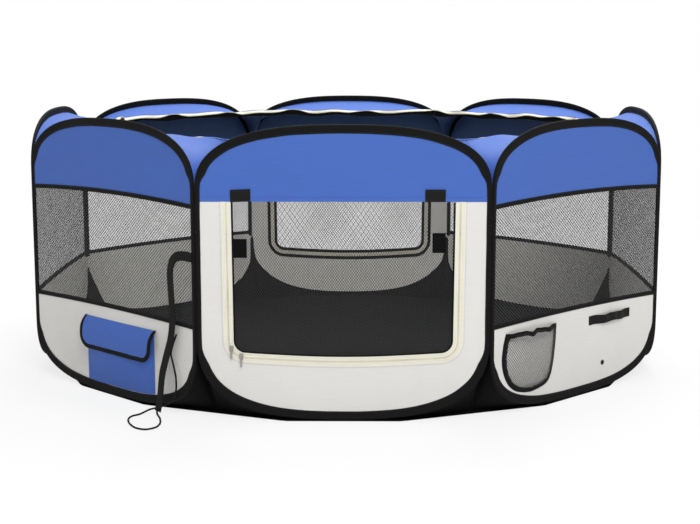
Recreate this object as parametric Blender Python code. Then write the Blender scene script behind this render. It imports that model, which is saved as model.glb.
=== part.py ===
"""Foldable octagonal dog playpen: eight fabric panels on spring wire hoops that fold as a star.

Metres, +Z up. The origin is the middle of the pen on the floor, and the front door faces -Y.
Every panel is drawn in its own frame: u to the right as seen from outside, v inward, z up.
"""

import math

import bmesh
import bpy
from mathutils import Matrix, Vector

# Driving dimensions, in metres
PANEL_WIDTH = 0.600  # seam to seam
PEN_HEIGHT = 0.610  # floor to the top of the hoops
PANEL_NAMES = (
    "front", "front_right", "right", "back_right",
    "back", "back_left", "left", "front_left",
)
DOOR_PANELS = ("front", "back")
TOUCH_GAP = 0.0003  # between pieces that are sewn or lie face to face
CLOTH = 0.0010  # thickness of every fabric, net and tape

# Spring wire hoop: straight sides between rounded bottom and top halves
WIRE_RADIUS = 0.0020
SEAM_TO_BINDING = 0.0012  # from the seam line to a binding's outer edge
TOP_ROUND = 0.130  # height of the rounded top
TOP_POWER = 2.6  # exponent of its curve, squarer when higher
BOTTOM_ROUND_DOOR, BOTTOM_POWER_DOOR = 0.165, 2.6
BOTTOM_ROUND_SIDE, BOTTOM_POWER_SIDE = 0.140, 2.9
ARC_STEPS = 6  # straight stretches in each quarter of a hoop

# Folded binding round the wire, open towards the panel
BINDING_ROUND_WIRE = 0.0006  # between the wire and the binding at its thickest
BINDING_BEHIND_WIRE = 0.0009  # from the wire to the binding's outer edge
BINDING_WALL = 0.0008
BINDING_LIP_SIDE = 0.0070  # from the wire's centre to the lip, along the seams
BINDING_LIP_ARC = 0.0155  # the same on the rounded stretches
LIP_GROWS_BY = 0.35  # slope of the hoop at which the lip has its full width
FABRIC_TO_WIRE = 0.0010  # between the wire and the fabric's edge in the fold

# Fabric of the panels
BAND_TALL_DOOR = 0.155  # from the pen's top to the lower edge of the blue band over a door
BAND_TALL_SIDE = 0.163  # the same at the ends of a side panel
BAND_ARCH = 0.009  # how much higher it is in the middle
SKIRT_HIGH = 0.191  # upper edge of the pale skirt at its ends
SKIRT_ARCH = 0.005
ARCH_STEPS = 8
WINDOW_TAPE = 0.010  # black tape along the top and bottom of a window
WINDOW_SELVAGE = 0.016
WINDOW_GAPS = (5, 3)  # diamonds across and up
DOOR_GAPS = (6, 4)
NET_BAR = 0.0045  # from a diamond's corner to the edge of its cell

# Door: a net flap in a U of zip, hinged along the band
DOOR_FROM_SEAM_TOP = 0.0635
DOOR_FROM_SEAM_LOW = 0.0660
DOOR_LOW = 0.1335
DOOR_SAG = 0.008
DOOR_CORNER = 0.036
CORNER_STEPS = 4
ZIP_HALF_CHAIN = 0.0008  # from the middle of the zip to either row of teeth
ZIP_TEETH = 0.0024  # width of a row of teeth
ZIP_TEETH_THICK = 0.0024
ZIP_TAPE = 0.0090  # from the middle of the zip to the tape's edge
DOOR_BINDING = 0.0065
DOOR_DROP = 0.0008  # from the band's edge to the door's top edge
DOOR_HINGE_DROP = 0.0004  # from the band's edge to the line the door turns on
DOOR_HINGE_OUT = 0.0008  # from the panel's mid plane outward to that line

# Zip slider and pull
SLIDER_WIDTH = 0.0090
SLIDER_LENGTH = 0.0130
SLIDER_PLATE = 0.0014
SLIDER_STANDS_OFF = 0.0016  # from the panel's mid plane to the back of the plate
BRIDGE_WIDTH = 0.0020
BRIDGE_LENGTH = 0.0080
BRIDGE_BEAM = 0.0010
BRIDGE_OPENING = 0.0018
BRIDGE_FOOT = 0.0014
PULL_WIDTH = 0.0050
PULL_LENGTH = 0.0215
PULL_BAR = 0.0010
PULL_EYE = 0.0056  # length of the pull's opening
PULL_EYE_WIDTH = 0.0030
# Places at rest: how far along the zip from the middle of the door's foot
SLIDERS = {
    "front": {"left": -0.2360, "right": -0.2092},
    "back": {"left": -0.2903, "right": 0.0751},
}

# Floor sheet with turned-up corners
FLOOR_SHEET = 0.0020
FLOOR_PAST_BINDING = 0.0002  # from a binding's face to the floor's edge
FLOOR_STRAIGHT = 0.120  # half the straight edge under each panel
FLOOR_HEM = 0.012
CORNER_LIFT = 0.005  # how far the floor lifts in the middle of a corner
SHEET_BEHIND_BINDING = 0.0010  # from a binding's face to a sheet sewn inside it

# Roof collar and the half zip round its opening
COLLAR_WIDTH = 0.120
COLLAR_DROP = 0.038  # from the pen's top to the edge of the roof opening
COLLAR_CORNER_GAP = 0.0020
COLLAR_SEAM_DROP = 0.0145  # from the wire's top to the collar's seam, by the binding's lip
ROOF_ZIP_WIDTH = 0.010
ROOF_ZIP_THICK = 0.0014

# Pocket with a flap on the front left panel
POCKET_FROM_LEFT_SEAM, POCKET_FROM_RIGHT_SEAM = 0.2105, 0.1435
POCKET_TOP, POCKET_LOW = 0.1580, 0.0220
POCKET_TOP_DEPTH, POCKET_DEPTH = 0.0075, 0.0115
FLAP_WIDER_BY, FLAP_TOP, FLAP_LENGTH = 0.0060, 0.1680, 0.0680
FLAP_BACK, FLAP_DEPTH = 0.0013, 0.0185
FLAP_CROWN = 5  # power of the curve by which the flap comes forward below its seam
FLAP_CORNER = 0.030
POCKET_FROM_LIP = 0.0012  # from the lip of the hoop's binding to a pocket's foot
BAG_ACROSS, BAG_DOWN = 10, 6  # steps of a pocket's surface

# Net bottle pocket and elastic strap on the front right panel
BOTTLE_OUTLINE = (
    # z, then how far the left and right edge are from the panel's left seam
    (0.1750, 0.0500, 0.2170), (0.1500, 0.0420, 0.2170), (0.1200, 0.0380, 0.2140),
    (0.0900, 0.0450, 0.2090), (0.0650, 0.0620, 0.2010), (0.0500, 0.0850, 0.1870),
    (0.0430, 0.1100, 0.1600),
)
BOTTLE_TOP_DEPTH, BOTTLE_DEPTH = 0.0120, 0.0140
ELASTIC_FROM_SEAM, ELASTIC_HALF = 0.1860, 0.0770
ELASTIC_Z, ELASTIC_WIDTH = 0.1630, 0.0200
ELASTIC_BUMP = 0.0078

# Tie strap on the front left panel, and the thin cord that loops from its end
STRAP_WIDTH = 0.020
STRAP_THICK = 0.0014
STRAP_STEP = 0.0180
STRAP_ROUTE = (
    # distance from the front left panel's right seam, outward, z
    (0.0060, 0.0046, 0.3400), (0.0300, 0.0075, 0.3415), (0.0520, 0.0095, 0.3370),
    (0.0650, 0.0105, 0.3230), (0.0710, 0.0105, 0.3000), (0.0670, 0.0110, 0.2450),
    (0.0640, 0.0120, 0.2055), (0.0670, 0.0150, 0.1650), (0.0800, 0.0185, 0.1220),
    (0.0900, 0.0220, 0.0830), (0.0920, 0.0270, 0.0350), (0.0940, 0.0320, 0.0080),
)
CORD_RADIUS = 0.0020
CORD_STEP = 0.0100
CORD_ROUTE = (
    # x, y, z from the foot of the seam between the front and front left panels
    (-0.0907, 0.0422, 0.0130), (-0.0890, 0.0343, 0.0046), (-0.0800, 0.0093, 0.0026),
    (-0.0740, -0.0317, 0.0026), (-0.0800, -0.0617, 0.0026), (-0.0990, -0.0747, 0.0026),
    (-0.1200, -0.0617, 0.0026), (-0.1360, -0.0317, 0.0026), (-0.1440, 0.0003, 0.0026),
    (-0.1400, 0.0263, 0.0026), (-0.1260, 0.0413, 0.0028), (-0.1080, 0.0538, 0.0090),
    (-0.0840, 0.0563, 0.0150), (-0.0600, 0.0443, 0.0290), (-0.0500, 0.0353, 0.0500),
    (-0.0480, 0.0343, 0.0750), (-0.0520, 0.0393, 0.1000), (-0.0590, 0.0453, 0.1300),
    (-0.0540, 0.0413, 0.1520), (-0.0460, 0.0353, 0.1740),
)

# Sizes that follow from the ones above
PANEL_COUNT = len(PANEL_NAMES)
TURN = 2 * math.pi / PANEL_COUNT
APOTHEM = PANEL_WIDTH / 2 / math.tan(TURN / 2)
CORNER_RADIUS = PANEL_WIDTH / 2 / math.sin(TURN / 2)
BINDING_BEAD = WIRE_RADIUS + BINDING_ROUND_WIRE + BINDING_WALL  # half its thickness
BINDING_BACK = WIRE_RADIUS + BINDING_BEHIND_WIRE
HOOP_HALF = PANEL_WIDTH / 2 - SEAM_TO_BINDING - BINDING_BACK
FLOOR_EDGE_OUT = BINDING_BEAD + FLOOR_PAST_BINDING
SHEET_TO_PANEL = BINDING_BEAD + SHEET_BEHIND_BINDING
HOOP_LOW = FLOOR_SHEET + TOUCH_GAP + BINDING_BACK
HOOP_HIGH = PEN_HEIGHT - BINDING_BACK
BAND_LOW_DOOR = PEN_HEIGHT - BAND_TALL_DOOR
BAND_LOW_SIDE = PEN_HEIGHT - BAND_TALL_SIDE
DOOR_HALF_TOP = PANEL_WIDTH / 2 - DOOR_FROM_SEAM_TOP
DOOR_HALF_LOW = PANEL_WIDTH / 2 - DOOR_FROM_SEAM_LOW
COLLAR_LOW = PEN_HEIGHT - COLLAR_DROP
POCKET_U = (POCKET_FROM_LEFT_SEAM - POCKET_FROM_RIGHT_SEAM) / 2
POCKET_HALF = (PANEL_WIDTH - POCKET_FROM_LEFT_SEAM - POCKET_FROM_RIGHT_SEAM) / 2
FLAP_HALF = POCKET_HALF + FLAP_WIDER_BY
ELASTIC_U = PANEL_WIDTH / 2 - ELASTIC_FROM_SEAM
FABRIC_INSET = WIRE_RADIUS + FABRIC_TO_WIRE
# Panels fold together in pairs at the closing seams and spread at the seams between the pairs
CLOSING_SEAM_IN = 0.0040  # the closing seams turn about a line inside the panels
SPREADING_SEAM_OUT = 0.0006
# Child panel, the panel it is sewn to, and the number of the seam between them
FOLD_ORDER = (
    ("front_left", "front", 7), ("left", "front_left", 6),
    ("back_left", "left", 5), ("back", "back_left", 4),
    ("front_right", "front", 0), ("right", "front_right", 1),
    ("back_right", "right", 2),
)

MATERIALS = {
    # name: (colour, roughness, metallic)
    "spring_steel": ((0.62, 0.63, 0.65), 0.35, 1.0),
    "black_binding": ((0.025, 0.026, 0.026), 0.80, 0.0),
    "blue_oxford": ((0.085, 0.160, 0.520), 0.75, 0.0),
    "cream_oxford": ((0.720, 0.710, 0.670), 0.80, 0.0),
    "black_net": ((0.060, 0.060, 0.065), 0.85, 0.0),
    "black_oxford": ((0.022, 0.022, 0.023), 0.80, 0.0),
    "cream_zip": ((0.850, 0.830, 0.720), 0.65, 0.0),
    "zip_metal": ((0.700, 0.700, 0.680), 0.30, 1.0),
    "black_webbing": ((0.020, 0.020, 0.021), 0.70, 0.0),
}


def material(name):
    found = bpy.data.materials.get(name)
    if found:
        return found
    colour, roughness, metallic = MATERIALS[name]
    made = bpy.data.materials.new(name)
    made.use_nodes = True
    shader = made.node_tree.nodes["Principled BSDF"]
    shader.inputs["Base Color"].default_value = (*colour, 1.0)
    shader.inputs["Roughness"].default_value = roughness
    shader.inputs["Metallic"].default_value = metallic
    made.diffuse_color = (*colour, 1.0)
    return made


# Places of the panels, seams and moving pieces


def panel_matrix(name):
    """The panel's frame: its middle on the floor, u along X, inward along Y."""
    turned = Matrix.Rotation(PANEL_NAMES.index(name) * TURN, 4, "Z")
    return turned @ Matrix.Translation((0.0, -APOTHEM, 0.0))


def seam_axis(number):
    """The line that the seam after panel `number` turns about."""
    closing = number % 2 == 1
    shift = -CLOSING_SEAM_IN if closing else SPREADING_SEAM_OUT
    radius = CORNER_RADIUS + shift / math.cos(TURN / 2)
    angle = -math.pi / 2 + (number + 0.5) * TURN
    return Vector((radius * math.cos(angle), radius * math.sin(angle), 0.0))


def place(obj, matrix, parent=None):
    """Puts an object at a world matrix, below its parent."""
    obj["world"] = [value for row in matrix for value in row]
    if parent:
        obj.parent = parent
        obj.matrix_basis = world_of(parent).inverted() @ matrix
    else:
        obj.matrix_basis = matrix


def world_of(obj):
    flat = list(obj["world"])
    return Matrix([flat[i:i + 4] for i in range(0, 16, 4)])


def empty(name, matrix, parent=None):
    made = bpy.data.objects.new(name, None)
    made.empty_display_size = 0.05
    bpy.context.scene.collection.objects.link(made)
    place(made, matrix, parent)
    return made


def panel_empties():
    """One empty on the fold line of each panel; the front panel's is the pen's own."""
    found = {"front": empty("fold_front", panel_matrix("front"))}
    for name, parent, seam in FOLD_ORDER:
        matrix = panel_matrix(name)
        matrix.translation = seam_axis(seam)
        found[name] = empty("fold_" + name, matrix, found[parent])
    return found


# Building meshes


def add_object(name, mesh, material_name, matrix, parent):
    obj = bpy.data.objects.new(name, mesh)
    bpy.context.scene.collection.objects.link(obj)
    mesh.materials.append(material(material_name))
    place(obj, matrix, parent)
    return obj


def finished(bm, name, angle=40):
    bmesh.ops.recalc_face_normals(bm, faces=bm.faces)
    mesh = bpy.data.meshes.new(name)
    bm.to_mesh(mesh)
    bm.free()
    mesh.shade_smooth()
    mesh.set_sharp_from_angle(angle=math.radians(angle))
    return mesh


def thicken(obj, thickness=CLOTH):
    """Gives a sheet its thickness, half to each side."""
    wall = obj.modifiers.new("thickness", "SOLIDIFY")
    wall.thickness = thickness
    wall.offset = 0.0
    return obj


def flat_sheet(name, outline, holes=()):
    """A flat sheet in the panel's plane, from (u, z) points, with its holes left open."""
    bm = bmesh.new()
    for points in (outline, *holes):
        corners = [bm.verts.new((u, 0.0, z)) for u, z in points]
        for i, corner in enumerate(corners):
            bm.edges.new((corners[i - 1], corner))
    if holes:
        bmesh.ops.triangle_fill(bm, use_beauty=True, edges=bm.edges[:])
    else:
        bm.faces.new(bm.verts[:])
    return finished(bm, name)


def loft(name, rings, closed):
    """A skin through rings of points; an open one gets flat ends."""
    bm = bmesh.new()
    loops = [[bm.verts.new(point) for point in ring] for ring in rings]
    sides = len(rings[0])
    for i in range(len(loops) if closed else len(loops) - 1):
        here, there = loops[i], loops[(i + 1) % len(loops)]
        for j in range(sides):
            k = (j + 1) % sides
            bm.faces.new((here[j], here[k], there[k], there[j]))
    if not closed:
        bm.faces.new(loops[0])
        bm.faces.new(loops[-1])
    return finished(bm, name)


def grid_sheet(name, rows, closed=False):
    """A sheet through rows of points; a closed one joins its last column to its first."""
    bm = bmesh.new()
    made = [[bm.verts.new(point) for point in row] for row in rows]
    columns = len(made[0])
    for low, high in zip(made, made[1:]):
        for j in range(columns if closed else columns - 1):
            k = (j + 1) % columns
            bm.faces.new((low[j], low[k], high[k], high[j]))
    return finished(bm, name)


def box_mesh(bm, low, high):
    """Adds a box between two corners to a mesh being built."""
    size = [b - a for a, b in zip(low, high)]
    middle = [(a + b) / 2 for a, b in zip(low, high)]
    matrix = Matrix.Translation(middle) @ Matrix.Diagonal((*size, 1.0))
    bmesh.ops.create_cube(bm, size=1.0, matrix=matrix)


def smooth_route(points, step):
    """Points about a step apart on a smooth curve through the given ones."""
    knots = [Vector(point) for point in points]
    knots = [2 * knots[0] - knots[1], *knots, 2 * knots[-1] - knots[-2]]
    fine = []
    for a, b, c, d in zip(knots, knots[1:], knots[2:], knots[3:]):
        for i in range(24):
            t = i / 24
            bend = (2 * a - 5 * b + 4 * c - d) * t * t + (3 * b - a - 3 * c + d) * t ** 3
            fine.append(0.5 * (2 * b + (c - a) * t + bend))
    fine.append(knots[-2])
    length = sum((q - p).length for p, q in zip(fine, fine[1:]))
    count = max(2, round(length / step))
    route, walked, wanted = [fine[0]], 0.0, length / count
    for p, q in zip(fine, fine[1:]):
        stretch = (q - p).length
        while walked + stretch >= wanted and len(route) < count:
            route.append(p.lerp(q, (wanted - walked) / stretch))
            wanted += length / count
        walked += stretch
    return route + [fine[-1]]


# Shape of a hoop and of what is sewn into it


def rounded(reach, height, power):
    """(u, rise) of a quarter curve from its widest point to its middle."""
    found = []
    for i in range(ARC_STEPS + 1):
        angle = math.pi / 2 * i / ARC_STEPS
        across = 0.0 if i == ARC_STEPS else reach * math.cos(angle) ** (2 / power)
        found.append((across, height * math.sin(angle) ** (2 / power)))
    return found


def hoop_points(name):
    """(u, z) of the wire, counterclockwise from the middle of the bottom."""
    door = name in DOOR_PANELS
    height = BOTTOM_ROUND_DOOR if door else BOTTOM_ROUND_SIDE
    power = BOTTOM_POWER_DOOR if door else BOTTOM_POWER_SIDE
    low = [(u, HOOP_LOW + height - s) for u, s in rounded(HOOP_HALF, height, power)]
    high = [(u, HOOP_HIGH - TOP_ROUND + s) for u, s in rounded(HOOP_HALF, TOP_ROUND, TOP_POWER)]
    right = low[::-1] + high
    left = [(-u, z) for u, z in right[-2:0:-1]]
    return right + left


def inward_normals(points):
    """For each point of a counterclockwise loop, the inward step that keeps a distance."""
    found = []
    count = len(points)
    for i in range(count):
        before = Vector(points[i]) - Vector(points[i - 1])
        after = Vector(points[(i + 1) % count]) - Vector(points[i])
        first = Vector((-before.y, before.x)).normalized()
        second = Vector((-after.y, after.x)).normalized()
        middle = (first + second).normalized()
        found.append(middle / max(0.3, middle.dot(second)))
    return found


def fabric_outline(name):
    """(u, z) of the fabric's edge in the fold of the binding."""
    points = hoop_points(name)
    steps = inward_normals(points)
    return [
        (u + FABRIC_INSET * step.x, z + FABRIC_INSET * step.y)
        for (u, z), step in zip(points, steps)
    ]


def binding_lip(step):
    """Where the lip ends: short along the seams, full on the rounded stretches."""
    share = min(1.0, abs(step.y) / LIP_GROWS_BY)
    return BINDING_LIP_SIDE + share * (BINDING_LIP_ARC - BINDING_LIP_SIDE)


def binding_section(lip):
    """(inward, v) points of the folded tape round the wire, a drop with a slot."""
    slot = CLOTH / 2 + TOUCH_GAP
    bead, back, wall = BINDING_BEAD, BINDING_BACK, BINDING_WALL
    half = [
        (lip, slot + wall), (0.0009, bead), (-back, 0.59 * bead),
        (-back + 0.0007, 0.47 * bead), (0.0007, bead - wall), (lip, slot),
    ]
    outer, inner = half[:3], half[3:]
    other = [(t, -v) for t, v in half]
    return outer + other[2::-1] + other[:2:-1] + inner


def make_hoop(name, matrix, parent):
    curve = bpy.data.curves.new(name + "_hoop", "CURVE")
    curve.dimensions = "3D"
    curve.bevel_depth = WIRE_RADIUS
    curve.bevel_resolution = 1
    spline = curve.splines.new("POLY")
    points = hoop_points(name)
    spline.points.add(len(points) - 1)
    for knot, (u, z) in zip(spline.points, points):
        knot.co = (u, 0.0, z, 1.0)
    spline.use_cyclic_u = True
    return add_object(name + "_hoop", curve, "spring_steel", matrix, parent)


def make_binding(name, matrix, parent):
    rings = []
    points = hoop_points(name)
    for (u, z), step in zip(points, inward_normals(points)):
        section = binding_section(binding_lip(step))
        rings.append([(u + t * step.x, v, z + t * step.y) for t, v in section])
    mesh = loft(name + "_binding", rings, closed=True)
    return add_object(name + "_binding", mesh, "black_binding", matrix, parent)


def fabric_side(name):
    return max(u for u, z in fabric_outline(name))


def arched(low, arch, side, u):
    """Height at u of a seam that is higher in its middle."""
    return low + arch * (1 - (u / side) ** 2)


def arched_line(low, arch, side):
    """(u, z) along such a seam from the left to the right."""
    across = [side * (2 * i / ARCH_STEPS - 1) for i in range(ARCH_STEPS + 1)]
    return [(u, arched(low, arch, side, u)) for u in across]


def make_band(name, matrix, parent):
    side = fabric_side(name)
    if name in DOOR_PANELS:
        edge = [(-side, BAND_LOW_DOOR), (side, BAND_LOW_DOOR)]
    else:
        edge = arched_line(BAND_LOW_SIDE, BAND_ARCH, side)
    upper = [point for point in fabric_outline(name) if point[1] > BAND_LOW_SIDE]
    mesh = flat_sheet(name + "_band", edge + upper)
    return thicken(add_object(name + "_band", mesh, "blue_oxford", matrix, parent))


def lower_outline(name, high):
    """The fabric's edge below a height, from the left side to the right."""
    points = fabric_outline(name)
    lower = [point for point in points if point[1] < high]
    right = [point for point in lower if point[0] >= -1e-6]
    left = [point for point in lower if point[0] < -1e-6]
    side = fabric_side(name)
    return [(-side, high), *left, *right, (side, high)]


def make_skirt(name, matrix, parent):
    if name in DOOR_PANELS:
        high = BAND_LOW_DOOR - TOUCH_GAP
        outline = lower_outline(name, high) + door_path(ZIP_TAPE + TOUCH_GAP, high)[::-1]
    else:
        edge = arched_line(SKIRT_HIGH, SKIRT_ARCH, fabric_side(name))
        outline = lower_outline(name, SKIRT_HIGH) + edge[-2:0:-1]
    mesh = flat_sheet(name + "_skirt", outline)
    return thicken(add_object(name + "_skirt", mesh, "cream_oxford", matrix, parent))


def diamonds(half, counts):
    """Corners of diamond gaps in staggered rows: u, and the share of the net's height."""
    wide = 2 * half / counts[0]
    middles = [
        (i + 0.5, j + 0.5) for i in range(counts[0]) for j in range(counts[1])
    ]
    middles += [(i, j) for i in range(1, counts[0]) for j in range(1, counts[1])]
    reach_u, reach_share = wide / 2 - NET_BAR, 0.5 - NET_BAR / wide
    gaps = []
    for i, j in middles:
        u = i * wide - half
        gaps.append([
            (u + reach_u, j / counts[1]), (u, (j + reach_share) / counts[1]),
            (u - reach_u, j / counts[1]), (u, (j - reach_share) / counts[1]),
        ])
    return gaps


def make_window(name, matrix, parent):
    side = fabric_side(name)
    low = arched_line(SKIRT_HIGH + TOUCH_GAP, SKIRT_ARCH, side)
    high = arched_line(BAND_LOW_SIDE - TOUCH_GAP, BAND_ARCH, side)
    gaps = []
    for gap in diamonds(side - WINDOW_SELVAGE, WINDOW_GAPS):
        corners = []
        for u, share in gap:
            foot = arched(SKIRT_HIGH + WINDOW_TAPE, SKIRT_ARCH, side, u)
            head = arched(BAND_LOW_SIDE - WINDOW_TAPE, BAND_ARCH, side, u)
            corners.append((u, foot + share * (head - foot)))
        gaps.append(corners)
    mesh = flat_sheet(name + "_window", low + high[::-1], gaps)
    return thicken(add_object(name + "_window", mesh, "black_net", matrix, parent))


# Doors


def door_path(outward, high):
    """(u, z) along the zip from the left end to the right, moved outward from its middle."""
    reach = DOOR_HALF_LOW - DOOR_CORNER
    points = [(-DOOR_HALF_TOP, high)]
    for i in range(CORNER_STEPS + 1):
        angle = math.pi + math.pi / 2 * i / CORNER_STEPS
        points.append((
            -reach + DOOR_CORNER * math.cos(angle),
            DOOR_LOW + DOOR_CORNER * (1 + math.sin(angle)),
        ))
    points += [(-reach / 2, DOOR_LOW - 0.75 * DOOR_SAG), (0.0, DOOR_LOW - DOOR_SAG)]
    points += [(-u, z) for u, z in points[-2::-1]]
    moved = []
    for i, (u, z) in enumerate(points):
        before = Vector(points[max(0, i - 1)])
        after = Vector(points[min(len(points) - 1, i + 1)])
        if 0 < i < len(points) - 1:
            first = (Vector((u, z)) - before).normalized()
            second = (after - Vector((u, z))).normalized()
            along = (first + second).normalized()
            scale = 1 / along.dot(second)
        else:
            along, scale = (after - before).normalized(), 1.0
        moved.append((u + along.y * outward * scale, z - along.x * outward * scale))
    moved[0] = (moved[0][0], high)
    moved[-1] = (moved[-1][0], high)
    return moved


def door_hinge_matrix(name):
    """The line that the door folds up on, just below the band and in front of it."""
    high = BAND_LOW_DOOR - DOOR_HINGE_DROP
    return panel_matrix(name) @ Matrix.Translation((0.0, -DOOR_HINGE_OUT, high))


def make_door_net(name, parent):
    high = BAND_LOW_DOOR - DOOR_DROP
    outline = door_path(-ZIP_HALF_CHAIN, high)
    solid = ZIP_TAPE + DOOR_BINDING
    low, top = DOOR_LOW + solid, high - DOOR_BINDING
    gaps = [
        [(u, low + share * (top - low)) for u, share in gap]
        for gap in diamonds(DOOR_HALF_LOW - solid, DOOR_GAPS)
    ]
    mesh = flat_sheet(name + "_door_net", outline, gaps)
    matrix = panel_matrix(name)
    return thicken(add_object(name + "_door_net", mesh, "black_net", matrix, parent))


def make_zip_tape(name, matrix, parent):
    """The half of the zip that is sewn to the panel, thicker at its teeth."""
    high = BAND_LOW_DOOR - TOUCH_GAP
    teeth = ZIP_HALF_CHAIN + ZIP_TEETH
    thin, thick = CLOTH / 2, ZIP_TEETH_THICK / 2
    half = [(ZIP_HALF_CHAIN, thick), (teeth, thick), (teeth, thin), (ZIP_TAPE, thin)]
    section = half + [(out, -v) for out, v in half[::-1]]
    paths = {out: door_path(out, high) for out, v in section}
    count = len(paths[ZIP_TAPE])
    rings = [
        [(paths[out][i][0], v, paths[out][i][1]) for out, v in section]
        for i in range(count)
    ]
    mesh = loft(name + "_zip_tape", rings, closed=False)
    return add_object(name + "_zip_tape", mesh, "cream_zip", matrix, parent)


def zip_point(along):
    """(u, z) on the zip, measured along it from the middle of the door's foot."""
    path = door_path(0.0, BAND_LOW_DOOR)
    half = len(path) // 2
    line = path[half:] if along > 0 else path[half::-1]
    left = abs(along)
    for start, end in zip(line, line[1:]):
        stretch = math.dist(start, end)
        if left <= stretch:
            share = left / stretch
            return tuple(a + (b - a) * share for a, b in zip(start, end))
        left -= stretch
    return line[-1]


def slider_matrix(name, side):
    u, z = zip_point(SLIDERS[name][side])
    return panel_matrix(name) @ Matrix.Translation((u, 0.0, z))


def bridge_heights():
    """v of the plate's back, its face, the opening's top and the bridge's top."""
    back = -SLIDER_STANDS_OFF
    face = back - SLIDER_PLATE
    opening = face - BRIDGE_OPENING
    return back, face, opening, opening - BRIDGE_BEAM


def make_slider(name, side, parent):
    """A shield shaped plate and the bridge on it that holds the pull."""
    back, face, opening, top = bridge_heights()
    wide, long = SLIDER_WIDTH / 2, SLIDER_LENGTH / 2
    shield = [
        (-0.55 * wide, -long), (0.55 * wide, -long), (wide, -0.35 * long),
        (wide, 0.80 * long), (0.75 * wide, long), (-0.75 * wide, long),
        (-wide, 0.80 * long), (-wide, -0.35 * long),
    ]
    label = name + "_slider_" + side
    mesh = flat_sheet(label, shield)
    matrix = slider_matrix(name, side)
    slider = add_object(label, mesh, "zip_metal", matrix, parent)
    for corner in mesh.vertices:
        corner.co.y = (back + face) / 2
    thicken(slider, SLIDER_PLATE)
    reach, foot = BRIDGE_LENGTH / 2, BRIDGE_FOOT
    arch = [
        (-reach, face + SLIDER_PLATE / 2), (-reach, top + 0.3 * BRIDGE_BEAM),
        (-reach + 0.3 * foot, top), (reach - 0.3 * foot, top),
        (reach, top + 0.3 * BRIDGE_BEAM), (reach, face + SLIDER_PLATE / 2),
        (reach - foot, face + SLIDER_PLATE / 2), (reach - foot, opening),
        (-reach + foot, opening), (-reach + foot, face + SLIDER_PLATE / 2),
    ]
    bm = bmesh.new()
    bm.faces.new([bm.verts.new((0.0, v, z)) for z, v in arch])
    bridge = add_object(label + "_bridge", finished(bm, label), "zip_metal", matrix, parent)
    thicken(bridge, BRIDGE_WIDTH)
    hide_helper(bridge)
    union = slider.modifiers.new("bridge", "BOOLEAN")
    union.operation = "UNION"
    union.object = bridge
    return slider


def hide_helper(obj):
    obj.hide_render = True
    obj.display_type = "WIRE"


def pull_axis_v():
    """v of the line that a pull turns on, in the middle of the bridge's opening."""
    back, face, opening, top = bridge_heights()
    return (face + opening) / 2


def make_pull(name, side, parent):
    """A flat tongue whose top bar sits under the bridge."""
    label = name + "_pull_" + side
    wide, eye = PULL_WIDTH / 2, PULL_EYE_WIDTH / 2
    top, bar = PULL_BAR / 2, PULL_BAR
    low = top - PULL_LENGTH
    outline = [
        (-wide, top), (-wide, -PULL_EYE - bar), (-0.7 * wide, low + 0.3 * wide),
        (-0.4 * wide, low), (0.4 * wide, low), (0.7 * wide, low + 0.3 * wide),
        (wide, -PULL_EYE - bar), (wide, top),
    ]
    hole = [
        (-eye, top - bar), (-eye, -PULL_EYE), (eye, -PULL_EYE), (eye, top - bar),
    ]
    mesh = flat_sheet(label, outline, [hole])
    matrix = slider_matrix(name, side) @ Matrix.Translation((0.0, pull_axis_v(), 0.0))
    return thicken(add_object(label, mesh, "zip_metal", matrix, parent), PULL_BAR)


def make_door(name, panel_empty):
    """The door, its fixed half of zip, and its sliders and pulls."""
    make_zip_tape(name, panel_matrix(name), panel_empty)
    hinge = empty(name + "_door_hinge", door_hinge_matrix(name), panel_empty)
    make_door_net(name, hinge)
    for side in SLIDERS[name]:
        matrix = slider_matrix(name, side)
        run = empty(name + "_slider_run_" + side, matrix, hinge)
        make_slider(name, side, run)
        turn = matrix @ Matrix.Translation((0.0, pull_axis_v(), 0.0))
        make_pull(name, side, empty(name + "_pull_turn_" + side, turn, run))


# Floor and roof


def ring_stations(upper):
    """(panel, u, z) along the lower or upper half of every hoop, once round the pen."""
    half = ARC_STEPS + 1
    stations = []
    for name in PANEL_NAMES:
        points = hoop_points(name)
        chosen = points[half:2 * half][::-1] if upper else points[:half]
        line = [(-u, z) for u, z in chosen[:0:-1]] + chosen
        stations += [(name, u, z) for u, z in line]
    return stations


def in_panel(name, u, v, z):
    return panel_matrix(name) @ Vector((u, v, z))


def floor_point(name, u, edge):
    """A point of the floor's outline, straight under the panel and cut across the corner."""
    if abs(u) <= FLOOR_STRAIGHT:
        return in_panel(name, u, edge, 0.0)
    side = math.copysign(1.0, u)
    start = Vector((side * FLOOR_STRAIGHT, edge))
    corner = Vector((side * PANEL_WIDTH / 2, 0.0))
    inward = Vector((-side * math.sin(TURN / 2), math.cos(TURN / 2)))
    middle = corner + inward * (start - corner).dot(inward)
    share = (abs(u) - FLOOR_STRAIGHT) / (PANEL_WIDTH / 2 - FLOOR_STRAIGHT)
    at = start.lerp(middle, share)
    return in_panel(name, at.x, at.y, 0.0)


def make_floor_sheet(parent):
    bm = bmesh.new()
    corners = []
    for name in PANEL_NAMES:
        for u in (-FLOOR_STRAIGHT, FLOOR_STRAIGHT):
            corners.append(bm.verts.new(floor_point(name, u, -FLOOR_EDGE_OUT)))
    bm.faces.new(corners)
    sheet = bmesh.ops.extrude_face_region(bm, geom=bm.faces[:])["geom"]
    raised = [item for item in sheet if isinstance(item, bmesh.types.BMVert)]
    bmesh.ops.translate(bm, vec=(0.0, 0.0, FLOOR_SHEET), verts=raised)
    mesh = finished(bm, "floor_sheet")
    return add_object("floor_sheet", mesh, "black_oxford", Matrix(), parent)


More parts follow.
